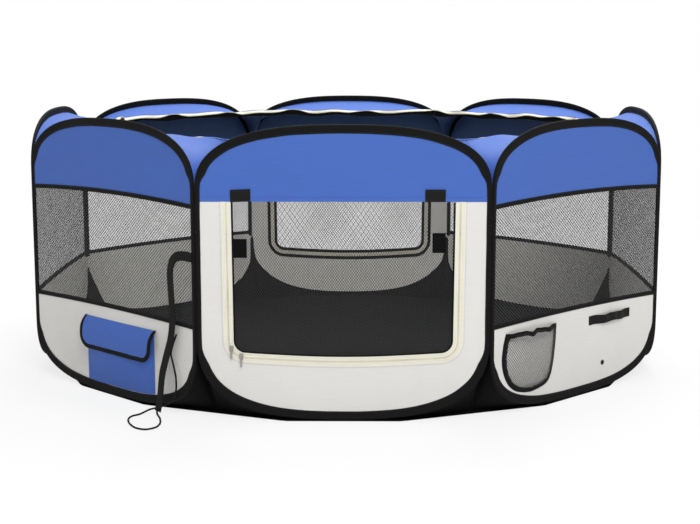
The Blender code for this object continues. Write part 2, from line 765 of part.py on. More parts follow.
def make_floor_corners(parent):
    """The hem of the floor and the eight corners that rise from it between the hoops."""
    high, low = [], []
    rest = FLOOR_SHEET + TOUCH_GAP + CLOTH
    for name, u, z in ring_stations(upper=False):
        high.append(in_panel(name, u, SHEET_TO_PANEL, max(z, rest)))
        foot = floor_point(name, u, SHEET_TO_PANEL + FLOOR_HEM)
        share = max(0.0, abs(u) - FLOOR_STRAIGHT) / (PANEL_WIDTH / 2 - FLOOR_STRAIGHT)
        foot.z = rest + CORNER_LIFT * share ** 2
        low.append(foot)
    mesh = grid_sheet("floor_corners", [low, high], closed=True)
    return thicken(add_object("floor_corners", mesh, "black_oxford", Matrix(), parent))


def collar_edge(name, u, further=0.0):
    """A point on the roof opening's edge, or further in, on the line of a hoop's point."""
    inward = COLLAR_WIDTH + further
    half = (APOTHEM - inward) * math.tan(TURN / 2) - COLLAR_CORNER_GAP
    return in_panel(name, u / HOOP_HALF * half, inward, COLLAR_LOW)


def collar_seam(z):
    """Height of the collar's seam below a point of a hoop's upper half."""
    start = HOOP_HIGH - TOP_ROUND
    return start + (z - start) * (TOP_ROUND - COLLAR_SEAM_DROP) / TOP_ROUND


def make_roof_collar(parent):
    """The sloping ring of roof cloth that stays when the cover is zipped off."""
    outer = [
        in_panel(n, u, SHEET_TO_PANEL, collar_seam(z))
        for n, u, z in ring_stations(upper=True)
    ]
    inner = [collar_edge(name, u) for name, u, z in ring_stations(upper=True)]
    mesh = grid_sheet("roof_collar", [outer, inner], closed=True)
    return thicken(add_object("roof_collar", mesh, "blue_oxford", Matrix(), parent))


def make_roof_zip(parent):
    """The half zip round the roof opening, a flat ring along the collar's edge."""
    rows = []
    for further in (TOUCH_GAP + 0.0002, ROOF_ZIP_WIDTH):
        rows.append([
            collar_edge(name, side * HOOP_HALF, further)
            for name in PANEL_NAMES for side in (-1, 1)
        ])
    mesh = grid_sheet("roof_zip", rows, closed=True)
    ring = add_object("roof_zip", mesh, "cream_zip", Matrix(), parent)
    return thicken(ring, ROOF_ZIP_THICK)


# Pockets and straps


def lower_lip(name):
    """(u, z) of the binding's lip in the right lower quarter of a panel, from the middle."""
    points = hoop_points(name)
    lip = []
    for (at, z), step in zip(points, inward_normals(points)):
        reach = binding_lip(step)
        if at >= 0 and z < PEN_HEIGHT / 2:
            lip.append((at + reach * step.x, z + reach * step.y))
    return lip


def lip_height(name, u):
    """Height of the binding's lip in the lower half of a panel."""
    lip = lower_lip(name)
    for (u0, z0), (u1, z1) in zip(lip, lip[1:]):
        if u0 <= abs(u) <= u1:
            return z0 + (z1 - z0) * (abs(u) - u0) / (u1 - u0)
    return lip[-1][1]


def lip_reach(name, z):
    """How far from the panel's middle the binding's lip is at a height."""
    lip = lower_lip(name)
    for (u0, z0), (u1, z1) in zip(lip, lip[1:]):
        if z0 <= z <= z1 and z1 > z0:
            return u0 + (u1 - u0) * (z - z0) / (z1 - z0)
    return lip[-1][0]


def bag_sheet(name, rows, top_depth, depth):
    """A bag's front through rows of (u, z): sewn down at its edges, open on top."""
    touch = CLOTH / 2 + TOUCH_GAP + CLOTH / 2
    sheet = []
    for j, row in enumerate(rows):
        fall = j / (len(rows) - 1)
        bulge = top_depth * (1 - fall) + depth * max(0.0, math.sin(math.pi * fall)) ** 0.8
        line = []
        for i, (u, z) in enumerate(row):
            share = 2 * i / (len(row) - 1) - 1
            line.append((u, -touch - bulge * (1 - abs(share) ** 3), z))
        sheet.append(line)
    return grid_sheet(name, sheet)


def pouch_rows():
    """Level on top, and along the hoop's binding where that is higher than the foot."""
    rows = []
    for j in range(BAG_DOWN + 1):
        row = []
        for i in range(BAG_ACROSS + 1):
            u = POCKET_U + POCKET_HALF * (2 * i / BAG_ACROSS - 1)
            foot = max(POCKET_LOW, lip_height("front_left", u) + POCKET_FROM_LIP)
            row.append((u, POCKET_TOP - (POCKET_TOP - foot) * j / BAG_DOWN))
        rows.append(row)
    return rows


def bottle_rows():
    """From the outline, and along the hoop's binding where that is further in."""
    rows = []
    for z, left, right in BOTTLE_OUTLINE:
        nearest = POCKET_FROM_LIP - lip_reach("front_right", z)
        start = max(left - PANEL_WIDTH / 2, nearest)
        end = right - PANEL_WIDTH / 2
        rows.append([(start + (end - start) * i / BAG_ACROSS, z) for i in range(BAG_ACROSS + 1)])
    return rows


def make_pocket(matrix, parent):
    mesh = bag_sheet("pocket_pouch", pouch_rows(), POCKET_TOP_DEPTH, POCKET_DEPTH)
    thicken(add_object("pocket_pouch", mesh, "blue_oxford", matrix, parent))
    hinge = empty("pocket_flap_hinge", flap_hinge_matrix(), parent)
    rows = []
    for fall in (0.0, 0.06, 0.15, 0.30, 0.55, 0.80, 0.93, 1.0):
        below = max(0.0, fall * FLAP_LENGTH - (FLAP_LENGTH - FLAP_CORNER))
        rounding = FLAP_CORNER - math.sqrt(max(0.0, FLAP_CORNER ** 2 - below ** 2))
        half = FLAP_HALF - rounding
        out = FLAP_BACK + (FLAP_DEPTH - FLAP_BACK) * (1 - (1 - fall) ** FLAP_CROWN)
        rows.append([
            (POCKET_U + half * share, -out, FLAP_TOP - FLAP_LENGTH * fall)
            for share in (-1.0, -0.5, 0.0, 0.5, 1.0)
        ])
    mesh = grid_sheet("pocket_flap", rows)
    thicken(add_object("pocket_flap", mesh, "blue_oxford", matrix, hinge))


def flap_hinge_matrix():
    shift = Matrix.Translation((POCKET_U, -FLAP_BACK, FLAP_TOP))
    return panel_matrix("front_left") @ shift


def make_bottle_pocket(matrix, parent):
    mesh = bag_sheet("bottle_pocket", bottle_rows(), BOTTLE_TOP_DEPTH, BOTTLE_DEPTH)
    thicken(add_object("bottle_pocket", mesh, "black_net", matrix, parent))


def make_elastic_strap(matrix, parent):
    """A strap sewn down at both ends that stands off a little between them."""
    touch = CLOTH / 2 + TOUCH_GAP + CLOTH / 2
    half = ELASTIC_WIDTH / 2
    rows = [[], []]
    for i in range(9):
        share = i / 4 - 1
        u = ELASTIC_U + ELASTIC_HALF * share
        v = -touch - ELASTIC_BUMP * max(0.0, 1 - (share / 0.75) ** 2)
        rows[0].append((u, v, ELASTIC_Z - half))
        rows[1].append((u, v, ELASTIC_Z + half))
    mesh = grid_sheet("elastic_strap", rows)
    thicken(add_object("elastic_strap", mesh, "black_webbing", matrix, parent))


def make_tie_strap(matrix, parent):
    """Flat webbing that hangs from the seam, its broad side outward."""
    places = [(PANEL_WIDTH / 2 - far, -out, z) for far, out, z in STRAP_ROUTE]
    route = smooth_route(places, STRAP_STEP)
    rows = [[], []]
    for i, at in enumerate(route):
        along = route[min(i + 1, len(route) - 1)] - route[max(i - 1, 0)]
        across = Vector((-along.z, 0.0, along.x)).normalized() * STRAP_WIDTH / 2
        rows[0].append(at + across)
        rows[1].append(at - across)
    mesh = grid_sheet("tie_strap", rows)
    strap = add_object("tie_strap", mesh, "black_webbing", matrix, parent)
    thicken(strap, STRAP_THICK)


def make_tie_cord(parent):
    """The thin cord that lies in a loop on the floor and climbs back to the seam."""
    curve = bpy.data.curves.new("tie_cord", "CURVE")
    curve.dimensions = "3D"
    curve.bevel_depth = CORD_RADIUS
    curve.bevel_resolution = 2
    curve.use_fill_caps = True
    spline = curve.splines.new("POLY")
    foot = Vector((-PANEL_WIDTH / 2, -APOTHEM, 0.0))
    route = smooth_route([foot + Vector(place) for place in CORD_ROUTE], CORD_STEP)
    spline.points.add(len(route) - 1)
    for knot, at in zip(spline.points, route):
        knot.co = (*at, 1.0)
    add_object("tie_cord", curve, "black_webbing", Matrix(), parent)


def main():
    for old in list(bpy.data.objects):
        bpy.data.objects.remove(old)
    folds = panel_empties()
    for name in PANEL_NAMES:
        matrix, parent = panel_matrix(name), folds[name]
        make_hoop(name, matrix, parent)
        make_binding(name, matrix, parent)
        make_band(name, matrix, parent)
        make_skirt(name, matrix, parent)
        if name in DOOR_PANELS:
            make_door(name, parent)
        else:
            make_window(name, matrix, parent)
    make_floor_sheet(folds["front"])
    make_floor_corners(folds["front"])
    make_roof_collar(folds["front"])
    make_roof_zip(folds["front"])
    make_pocket(panel_matrix("front_left"), folds["front_left"])
    make_bottle_pocket(panel_matrix("front_right"), folds["front_right"])
    make_elastic_strap(panel_matrix("front_right"), folds["front_right"])
    # The tie strap is sewn into the seam, and stays with the front panel when the pen folds
    make_tie_strap(panel_matrix("front_left"), folds["front"])
    make_tie_cord(folds["front"])


main()
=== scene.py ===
"""Looks of the foldable octagonal dog playpen: cloth, nets, zips, bindings, straps and stage.

Metres, +Z up, the front door faces -Y. Every panel is drawn in its own frame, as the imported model's are:
u to the right as seen from outside, v inward, z up.
"""

import math
from functools import cache

import bpy
from bpy.props import FloatProperty, FloatVectorProperty, IntProperty, PointerProperty
from mathutils import Matrix, Vector, noise


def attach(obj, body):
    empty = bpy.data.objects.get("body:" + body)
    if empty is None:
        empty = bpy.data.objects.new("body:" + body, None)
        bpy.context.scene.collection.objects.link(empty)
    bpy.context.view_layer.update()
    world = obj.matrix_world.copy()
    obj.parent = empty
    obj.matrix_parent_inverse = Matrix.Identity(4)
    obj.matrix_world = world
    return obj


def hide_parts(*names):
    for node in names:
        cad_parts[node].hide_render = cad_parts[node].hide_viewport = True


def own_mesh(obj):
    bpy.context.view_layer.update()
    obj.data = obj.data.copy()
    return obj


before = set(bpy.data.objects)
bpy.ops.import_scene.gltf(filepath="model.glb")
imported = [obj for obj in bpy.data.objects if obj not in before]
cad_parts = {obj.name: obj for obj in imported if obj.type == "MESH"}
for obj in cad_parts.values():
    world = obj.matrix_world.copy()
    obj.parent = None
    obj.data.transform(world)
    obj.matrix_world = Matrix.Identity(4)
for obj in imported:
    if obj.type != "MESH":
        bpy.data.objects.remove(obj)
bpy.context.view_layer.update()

bl_info = {
    "name": "Foldable dog playpen",
    "version": (1, 0, 0),
    "blender": (4, 5, 0),
    "location": "3D View > Sidebar > Playpen",
    "description": "Cloth, nets, zips and straps of an octagonal playpen on spring wire hoops",
    "category": "Object",
}

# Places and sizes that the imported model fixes, in metres
PANELS = (
    "front", "front_right", "right", "back_right",
    "back", "back_left", "left", "front_left",
)
DOOR_PANELS = ("front", "back")
OUTSIDE = (0.0, -1.0, 0.0)
TURN = math.tau / 8
PANEL_WIDTH = 0.600
APOTHEM = PANEL_WIDTH / 2 / math.tan(TURN / 2)
PEN_HEIGHT = 0.610

# The wire hoops, and the cloth's edge in the fold of their bindings
WIRE_RADIUS = 0.0020
BINDING_BEAD, BINDING_BACK, BINDING_TO_SEAM = 0.0034, 0.0029, 0.0012
HOOP_HALF = PANEL_WIDTH / 2 - BINDING_TO_SEAM - BINDING_BACK
HOOP_LOW, HOOP_HIGH = 0.0052, PEN_HEIGHT - BINDING_BACK
TOP_ROUND, TOP_POWER = 0.130, 2.6
BOTTOM_ROUND_DOOR, BOTTOM_POWER_DOOR = 0.165, 2.6
BOTTOM_ROUND_SIDE, BOTTOM_POWER_SIDE = 0.140, 2.9
FABRIC_INSET = 0.0030

# How far the bindings' lips reach: beside straight wire, at the arcs, and on the inside near the floor
LIP_SIDE, LIP_ARC, LIP_GROWS_BY = 0.0070, 0.0155, 0.35
LIP_INSIDE, LIP_WALL, LIP_STITCH = 0.0055, 0.0008, 0.0024

# The rolled tape on the seams, and the lining lapped over the bindings
SEAM_ROLL, SEAM_ROLL_WAVE, SEAM_PAST_ROUND = 0.00122, 0.00006, 0.006
LAP_REACH, LAP_WAVE, LAP_THICK, LAP_LOW = 0.0035, 0.0004, 0.0004, 0.048

# Bands, skirts and windows
BAND_LOW_DOOR = PEN_HEIGHT - 0.155
BAND_LOW_SIDE, BAND_ARCH, BAND_LENGTH = PEN_HEIGHT - 0.163, 0.009, 0.170
SKIRT_HIGH, SKIRT_ARCH, SKIRT_LENGTH = 0.191, 0.005, 0.200
HEM_SHORT, HEM_THICK = 0.0032, 0.0007
WINDOW_TAPE, NET_TUCK, TAPE_LAP = 0.0095, 0.003, 0.0008
# Where the nets are held flat: heights in the windows, half width and heights in the doors
WINDOW_HELD, DOOR_HELD = (0.19, 0.45), (0.21, 0.12, 0.44)

# Doors and zips: half the width at the top and at the bottom, lower edge, its sag and its corners
DOOR_HALF_TOP, DOOR_HALF_LOW = 0.2365, 0.2340
DOOR_LOW, DOOR_SAG, DOOR_CORNER = 0.1335, 0.008, 0.036
ZIP_TAPE, DOOR_BINDING, OUTER_LAP, INNER_LAP = 0.0090, 0.0048, 0.0005, 0.0036
TAPE_THICK, BINDING_THICK, DOOR_BINDING_V = 0.0009, 0.0010, 0.0008
# How far the door, its net, its zip and the rows along the zip stop short of the band's lower edge
LEAF_GAP, DOOR_NET_GAP, ZIP_GAP, ROW_GAP = 0.0016, 0.0006, 0.0003, 0.003
PIPING_WIDE, PIPING_THICK, PIPING_V = 0.0013, 0.0011, -0.0012
COIL_V, COIL_OFF, COIL_WIDTH, COIL_HEIGHT = -0.0002, 0.0014, 0.0025, 0.0022
# Ripples of the sewn zip tape, and the rows of stitches: outward of the zip's line, and v
ZIP_SEWN = ((0.0076, -0.0009), (0.0058, -0.0005), (0.0040, -0.0008), (0.0004, -0.0006))
DOOR_STITCHES, ZIP_STITCHES = (-0.0050, -0.0012), ((0.0050, -0.0014), (0.0078, -0.0014))
# Hook and loop patches on the doors: side, u, lower and upper edge
PATCHES = (("left", -0.2085, 0.3405, 0.3790), ("right", 0.1935, 0.3510, 0.3915))
PATCH_WIDTH, PATCH_THICK, PATCH_OUT, PATCH_BULGE = 0.0270, 0.0018, 0.0016, 0.0004
# Tabs under the bands: side, u, and how much higher the right end lies
TABS = (("left", -0.2070, 0.0016), ("right", 0.1855, 0.0))
TAB_WIDTH, TAB_LENGTH, TAB_THICK = 0.041, 0.0250, 0.0010
# Rows of stitches on the tabs: above the band's lower edge, and outward
TAB_STITCHES = ((0.0025, 0.0021), (0.0205, 0.0028))
EYELET_U, EYELET_Z, EYELET_RADIUS, EYELET_HOLE = 0.0900, 0.0615, 0.0042, 0.0035
EYELET_RIM = (0.0018, 0.0011)

# Floor, its raised corners, and the roof collar with its zip
FLOOR_EDGE_OUT, FLOOR_STRAIGHT, FLOOR_HEM = 0.0036, 0.120, 0.012
FLOOR_REST, FLOOR_LIE, FLOOR_RIPPLE, FLOOR_THICK = 0.0016, 0.0012, 0.0022, 0.0012
SHEET_TO_PANEL, SEAM_DEPTH, SEAM_ABOVE_ROUND = 0.0044, 0.0028, 0.004
CORNER_V = SHEET_TO_PANEL * 1.3
COLLAR_WIDTH, COLLAR_LOW, COLLAR_SEAM_DROP = 0.120, PEN_HEIGHT - 0.038, 0.0145
COLLAR_SAG, COLLAR_CREASE, SECTOR_LENGTH = 0.007, 0.0016, 0.170
FACING_DROP, FACING_WAVE = 0.0155, 0.0016
# The share of its depth that a piece keeps as the pen folds, and how far inward of the panel it then lies
FLOOR_FLAT, CORNER_FLAT, COLLAR_FLAT = (0.003, 0.0006), (0.03, 0.0038), (0.012, 0.0040)
# The roof zip's lean in degrees, and how far it turns about that in long and in short waves
ZIP_LEAN, ZIP_LEAN_LONG, ZIP_LEAN_SHORT = 36, 30, 18
# Reach of the roof zip's tape and coil from the collar's edge, and the coil's width and height
ROOF_TAPE, ROOF_TEETH, ROOF_COIL = (0.0012, 0.0045, 0.0078), 0.0086, (0.0024, 0.0020)

# The storage pocket and its flap
POCKET_U, POCKET_HALF, POCKET_TOP, POCKET_LOW = 0.0335, 0.1230, 0.1580, 0.0220
POCKET_TOP_DEPTH, POCKET_DEPTH, POCKET_HEMS, POCKET_FOLD = 0.0075, 0.0115, 0.02, 0.012
FLAP_HALF, FLAP_TOP, FLAP_LENGTH = 0.1290, 0.1680, 0.0680
FLAP_BACK, FLAP_DEPTH, FLAP_CROWN, FLAP_CORNER, FLAP_SEAM = 0.0013, 0.0185, 5, 0.030, 0.012
# Width, thickness and waviness of the tapes folded over the pockets' edges
FLAP_EDGE, BOTTLE_EDGE = (0.0085, 0.0028, 0.0006), (0.0100, 0.0024, 0.0010)

# The net bottle pocket and the elastic strap
BOTTLE_OUTLINE = (
    # z, then u of the left and right edge
    (0.1750, -0.2500, -0.0830), (0.1500, -0.2580, -0.0830), (0.1200, -0.2620, -0.0860),
    (0.0900, -0.2550, -0.0910), (0.0650, -0.2380, -0.0990), (0.0500, -0.2150, -0.1130),
    (0.0430, -0.1900, -0.1400),
)
BOTTLE_TOP_DEPTH, BOTTLE_DEPTH = 0.0120, 0.0140
BOTTLE_FOOT, BOTTLE_MIDDLE = (-0.165, 0.0405), (-0.167, 0.0, 0.115)
BOTTLE_TAPE_LOW, BOTTLE_TAPE, BOTTLE_TAPE_THICK = 0.1660, 0.0100, 0.0024
ELASTIC_U, ELASTIC_HALF, ELASTIC_Z, ELASTIC_WIDTH = 0.1140, 0.0770, 0.1630, 0.0200
ELASTIC_BACK, ELASTIC_STANDS, ELASTIC_PUCKER, ELASTIC_THICK = 0.0016, 0.0070, 0.0016, 0.0016

# The tie strap and its cord
STRAP_WIDTH, STRAP_THICK, STRAP_CUP, STRAP_STEP = 0.020, 0.0014, 0.0007, 0.008
STRAP_ROUTE = (
    # u, outward, z in the front left panel's frame
    (0.2940, 0.0046, 0.3400), (0.2700, 0.0075, 0.3415), (0.2480, 0.0095, 0.3370),
    (0.2350, 0.0105, 0.3230), (0.2290, 0.0105, 0.3000), (0.2330, 0.0110, 0.2450),
    (0.2360, 0.0120, 0.2055), (0.2330, 0.0150, 0.1650), (0.2200, 0.0185, 0.1220),
    (0.2100, 0.0220, 0.0830), (0.2080, 0.0270, 0.0350), (0.2060, 0.0320, 0.0080),
)
CORD_RADIUS, CORD_STEP = 0.0020, 0.005
CORD_ROUTE = (
    # x, y, z in the pen's frame
    (-0.3907, -0.6821, 0.0130), (-0.3890, -0.6900, 0.0046), (-0.3800, -0.7150, 0.0026),
    (-0.3740, -0.7560, 0.0026), (-0.3800, -0.7860, 0.0026), (-0.3990, -0.7990, 0.0026),
    (-0.4200, -0.7860, 0.0026), (-0.4360, -0.7560, 0.0026), (-0.4440, -0.7240, 0.0026),
    (-0.4400, -0.6980, 0.0026), (-0.4260, -0.6830, 0.0028), (-0.4080, -0.6705, 0.0090),
    (-0.3840, -0.6680, 0.0150), (-0.3600, -0.6800, 0.0290), (-0.3500, -0.6890, 0.0500),
    (-0.3480, -0.6900, 0.0750), (-0.3520, -0.6850, 0.1000), (-0.3590, -0.6790, 0.1300),
    (-0.3540, -0.6830, 0.1520), (-0.3460, -0.6890, 0.1740),
)
SLIDERS = tuple(f"{door}_slider_{side}" for door in DOOR_PANELS for side in ("left", "right"))
PULLS = tuple(f"{door}_pull_{side}" for door in DOOR_PANELS for side in ("left", "right"))

# The camera: pixels across the photograph, width of the sensor in millimetres, place in metres
IMAGE_WIDTH, SENSOR_WIDTH = 700, 36.0
CAMERA_AT = (0.0360, -3.5268, 0.7777)
STAGE_REACH, STAGE_Z = 9.0, -0.0003
# The lamps: place, the point they face, and width, in metres
KEY_LAMP = ((0.75, -3.6, 3.3), (0.0, -0.4, 0.3), 1.8)
TOP_LAMP = ((0.3, 1.5, 3.3), (0.0, 0.0, 0.3), 2.4)
WHITE = (1.0, 1.0, 1.0, 1.0)


def linear(code):
    """A scene colour from its sRGB hex value."""
    shares = [int(code[i:i + 2], 16) / 255 for i in (1, 3, 5)]
    return [s / 12.92 if s <= 0.04045 else ((s + 0.055) / 1.055) ** 2.4 for s in shares]


def colour_property(name, description, code):
    return FloatVectorProperty(
        name=name, description=description, default=linear(code), subtype="COLOR",
        size=3, min=0.0, max=1.0,
    )


def length_property(name, description, default):
    return FloatProperty(
        name=name, description=description, default=default, min=0.0001, max=0.1,
        precision=5, unit="LENGTH",
    )


class PlaypenSizes(bpy.types.PropertyGroup):
    """Sizes of the cloth and of what is sewn to it"""
    cloth: length_property("Cloth", "Thickness of the coated oxford cloth", 0.0010)
    weave: length_property("Weave", "Spacing of the oxford cloth's threads", 0.0012)
    tape_weave: length_property("Tape weave", "Spacing of the ribs of tapes and webbing", 0.0016)
    net_pitch: length_property("Net pitch", "Distance between two neighbouring net threads", 0.0042)
    net_thread: length_property("Net thread", "Width of a net thread as it lies in the net", 0.00080)
    net_flat: length_property("Net flatness", "Thickness of a net thread across the net", 0.00012)
    stitch_pitch: length_property("Stitch pitch", "Distance from one stitch to the next", 0.0042)
    stitch_length: length_property("Stitch length", "Length of the thread that shows", 0.0031)
    stitch_width: length_property("Stitch width", "Thickness of the sewing thread", 0.0006)
    tooth_pitch: length_property("Zip pitch", "Distance from one turn of the coil to the next", 0.0022)
    hem: length_property("Hem", "Depth of the turned hem of the bands", 0.0085)
    slack: length_property("Slack", "How far the cloth strays from flat between its seams", 0.0022)
    roof_wave: length_property("Roof wave", "How far the roof zip waves up and down", 0.0052)
    hoop_steps: IntProperty(
        name="Hoop steps", description="Points in each quarter of a hoop", default=26, min=6, max=64,
    )


class PlaypenColours(bpy.types.PropertyGroup):
    """Colours of the cloths, threads and metal"""
    blue: colour_property("Blue cloth", "Outside of the bands, roof and pocket", "#476ABC")
    navy: colour_property("Blue lining", "Coated inside of the blue cloth", "#4A6496")
    cream: colour_property("Cream cloth", "Outside of the skirts", "#E5E3DF")
    lining: colour_property("Cream lining", "Coated inside of the cream cloth", "#E4E2DC")
    black: colour_property("Black cloth", "Floor and its corners", "#181818")
    tape: colour_property("Black tape", "Bindings and window tapes", "#131413")
    net: colour_property("Net", "Threads of the nets", "#1D1D1F")
    zip: colour_property("Zip", "Tape and coil of the zips", "#F2EFE0")
    webbing: colour_property("Webbing", "Straps and the cord", "#191A19")
    zinc: colour_property("Zip metal", "Sliders and pulls", "#A3A19B")
    steel: colour_property("Spring steel", "Wire of the hoops", "#A9ABAE")
    eyelet: colour_property("Eyelet", "Ring pressed into the skirt", "#3A3A3A")
    ground: colour_property("Ground", "The studio floor", "#F4F4F4")


def sizes():
    return bpy.context.scene.playpen_sizes


def colours():
    return bpy.context.scene.playpen_colours


# Materials


def add(tree, kind, inputs=None, **settings):
    """Adds a node with its settings; an input takes a value, an output, or a node for its first output."""
    made = tree.nodes.new(kind)
    for name, value in settings.items():
        setattr(made, name, value)
    for key, value in (inputs or {}).items():
        if isinstance(value, bpy.types.Node):
            value = value.outputs[0]
        if isinstance(value, bpy.types.NodeSocket):
            tree.links.new(value, made.inputs[key])
        else:
            made.inputs[key].default_value = value
    return made


def shade(colour, factor):
    return (*[min(1.0, max(0.0, channel * factor)) for channel in colour], 1.0)


def cloth_places(tree):
    """The cloth's own places in metres: x along the threads of one way, y along the other."""
    return add(tree, "ShaderNodeUVMap", uv_map="cloth").outputs["UV"]


def object_places(tree):
    return add(tree, "ShaderNodeTexCoord").outputs["Object"]


def reckon(tree, way, *values):
    """The result of a calculation with values or other nodes' outputs."""
    return add(tree, "ShaderNodeMath", dict(enumerate(values)), operation=way)


def clouds_at(tree, place, scale, detail, **more):
    """A smooth noise from 0 to 1."""
    return add(tree, "ShaderNodeTexNoise", {"Vector": place, "Scale": scale, "Detail": detail, **more})


def mapped(tree, value, low, high, to_low=0.0, to_high=1.0):
    """A value from low to high, brought to the stretch from to_low to to_high."""
    return add(tree, "ShaderNodeMapRange", {
        "Value": value, "From Min": low, "From Max": high, "To Min": to_low, "To Max": to_high,
    })


def mixed(tree, factor, first, second, **settings):
    """A mixture of two colours."""
    inputs = {"Factor": factor, "A": first, "B": second}
    return add(tree, "ShaderNodeMix", inputs, data_type="RGBA", **settings).outputs["Result"]


def toned(tree, factor, colour, dark, light):
    """The colour, darker or lighter with the factor."""
    return mixed(tree, factor, shade(colour, dark), shade(colour, light))


def raised(tree, height, strength, distance):
    """Small relief, its distance in metres."""
    return add(tree, "ShaderNodeBump", {"Height": height, "Strength": strength, "Distance": distance})


def new_material(name):
    made = bpy.data.materials.new(name)
    made.use_nodes = True
    tree = made.node_tree
    tree.nodes.clear()
    return made, tree


def close_material(tree, **inputs):
    """Ends a material with the shader; inputs are named with _ for a space."""
    named = {name.replace("_", " "): value for name, value in inputs.items()}
    add(tree, "ShaderNodeOutputMaterial", {"Surface": add(tree, "ShaderNodeBsdfPrincipled", named)})


def woven(name, colour, pitch, relief, roughness, sheen, twill=0.0, streak=0.05, ribs=1.0, shine=0.25):
    """Cloth of crossing threads: raised crowns, painted shade darkening the gaps between them, slight streaks
    of dye along the threads.
    """
    made, tree = new_material(name)
    place = cloth_places(tree)
    parts = add(tree, "ShaderNodeSeparateXYZ", {0: place})
    x, y = parts.outputs["X"], parts.outputs["Y"]
    if twill:
        x = reckon(tree, "MULTIPLY_ADD", y, twill, x)
    turns = math.tau / pitch / 2
    wave_x = reckon(tree, "SINE", reckon(tree, "MULTIPLY", x, turns))
    wave_y = reckon(tree, "SINE", reckon(tree, "MULTIPLY", y, turns * ribs))
    crown = reckon(tree, "ABSOLUTE", reckon(tree, "MULTIPLY", wave_x, wave_y))
    # Streaks: dye takes unevenly along single threads, a few threads wide and some centimetres long
    along = add(tree, "ShaderNodeMapping", {"Vector": place, "Scale": (18.0, 420.0, 1.0)})
    streaks = clouds_at(tree, along, 1.0, 2.0)
    clouds = clouds_at(tree, place, 9.0, 3.0, Roughness=0.55)
    level = mapped(tree, reckon(tree, "ADD", streaks, clouds), 0.7, 1.3)
    dyed = toned(tree, level, colour, 1 - streak, 1 + streak)
    # Painted shade: the colour is darkened where the crowns fall away, in the gaps between the threads
    painted_gap_shade = mapped(tree, crown, 0.0, 0.35, 0.80, 1.0)
    base = mixed(tree, 1.0, dyed, painted_gap_shade, blend_type="MULTIPLY")
    rough = mapped(tree, clouds, 0.3, 0.7, roughness - 0.06, roughness + 0.06)
    close_material(
        tree, Base_Color=base, Roughness=rough, Specular_IOR_Level=shine, Sheen_Weight=sheen,
        Sheen_Roughness=0.5, Normal=raised(tree, crown, 0.6, relief),
    )
    return made


def coated(name, colour, roughness):
    """The inside of the cloth: a thin rubbery coat that the weave shows through, with faint creases."""
    made, tree = new_material(name)
    place = cloth_places(tree)
    clouds = clouds_at(tree, place, 22.0, 5.0, Roughness=0.6)
    creases = clouds_at(tree, place, 60.0, 2.0, Distortion=1.5)
    base = toned(tree, clouds, colour, 0.90, 1.10)
    bump = raised(tree, creases, 0.35, 0.0006)
    close_material(tree, Base_Color=base, Roughness=roughness, Specular_IOR_Level=0.25, Normal=bump)
    return made


def yarn(name, colour, roughness, sheen=0.0):
    """Plain thread or moulded coil: fine twist lines and small differences of tone."""
    made, tree = new_material(name)
    place = object_places(tree)
    fine = clouds_at(tree, place, 900.0, 1.0)
    broad = clouds_at(tree, place, 14.0, 2.0)
    level = mapped(tree, reckon(tree, "MULTIPLY", fine, broad), 0.15, 0.35)
    base = toned(tree, level, colour, 0.82, 1.12)
    bump = raised(tree, fine, 0.4, 0.0001)
    close_material(tree, Base_Color=base, Roughness=roughness, Sheen_Weight=sheen, Normal=bump)
    return made


def metal(name, colour, roughness, grain):
    """Plated metal: fine tumbling marks, and duller where fingers have been."""
    made, tree = new_material(name)
    place = object_places(tree)
    marks = clouds_at(tree, place, grain, 4.0)
    wear = clouds_at(tree, place, 160.0, 2.0)
    base = toned(tree, wear, colour, 0.86, 1.06)
    rough = mapped(tree, wear, 0.3, 0.7, roughness - 0.08, roughness + 0.10)
    bump = raised(tree, marks, 0.25, 0.0001)
    close_material(tree, Base_Color=base, Metallic=1.0, Roughness=rough, Normal=bump)
    return made


def hook_and_loop():
    """Loop side of the fastening patches: a matt felt of tiny black loops."""
    made, tree = new_material("hook_and_loop_felt")
    loops = add(tree, "ShaderNodeTexVoronoi", {"Vector": cloth_places(tree), "Scale": 900.0})
    base = mixed(tree, loops, shade(linear("#070708"), 1.0), shade(linear("#131314"), 1.0))
    bump = raised(tree, loops, 0.8, 0.0006)
    close_material(tree, Base_Color=base, Roughness=0.95, Specular_IOR_Level=0.10, Normal=bump)
    return made


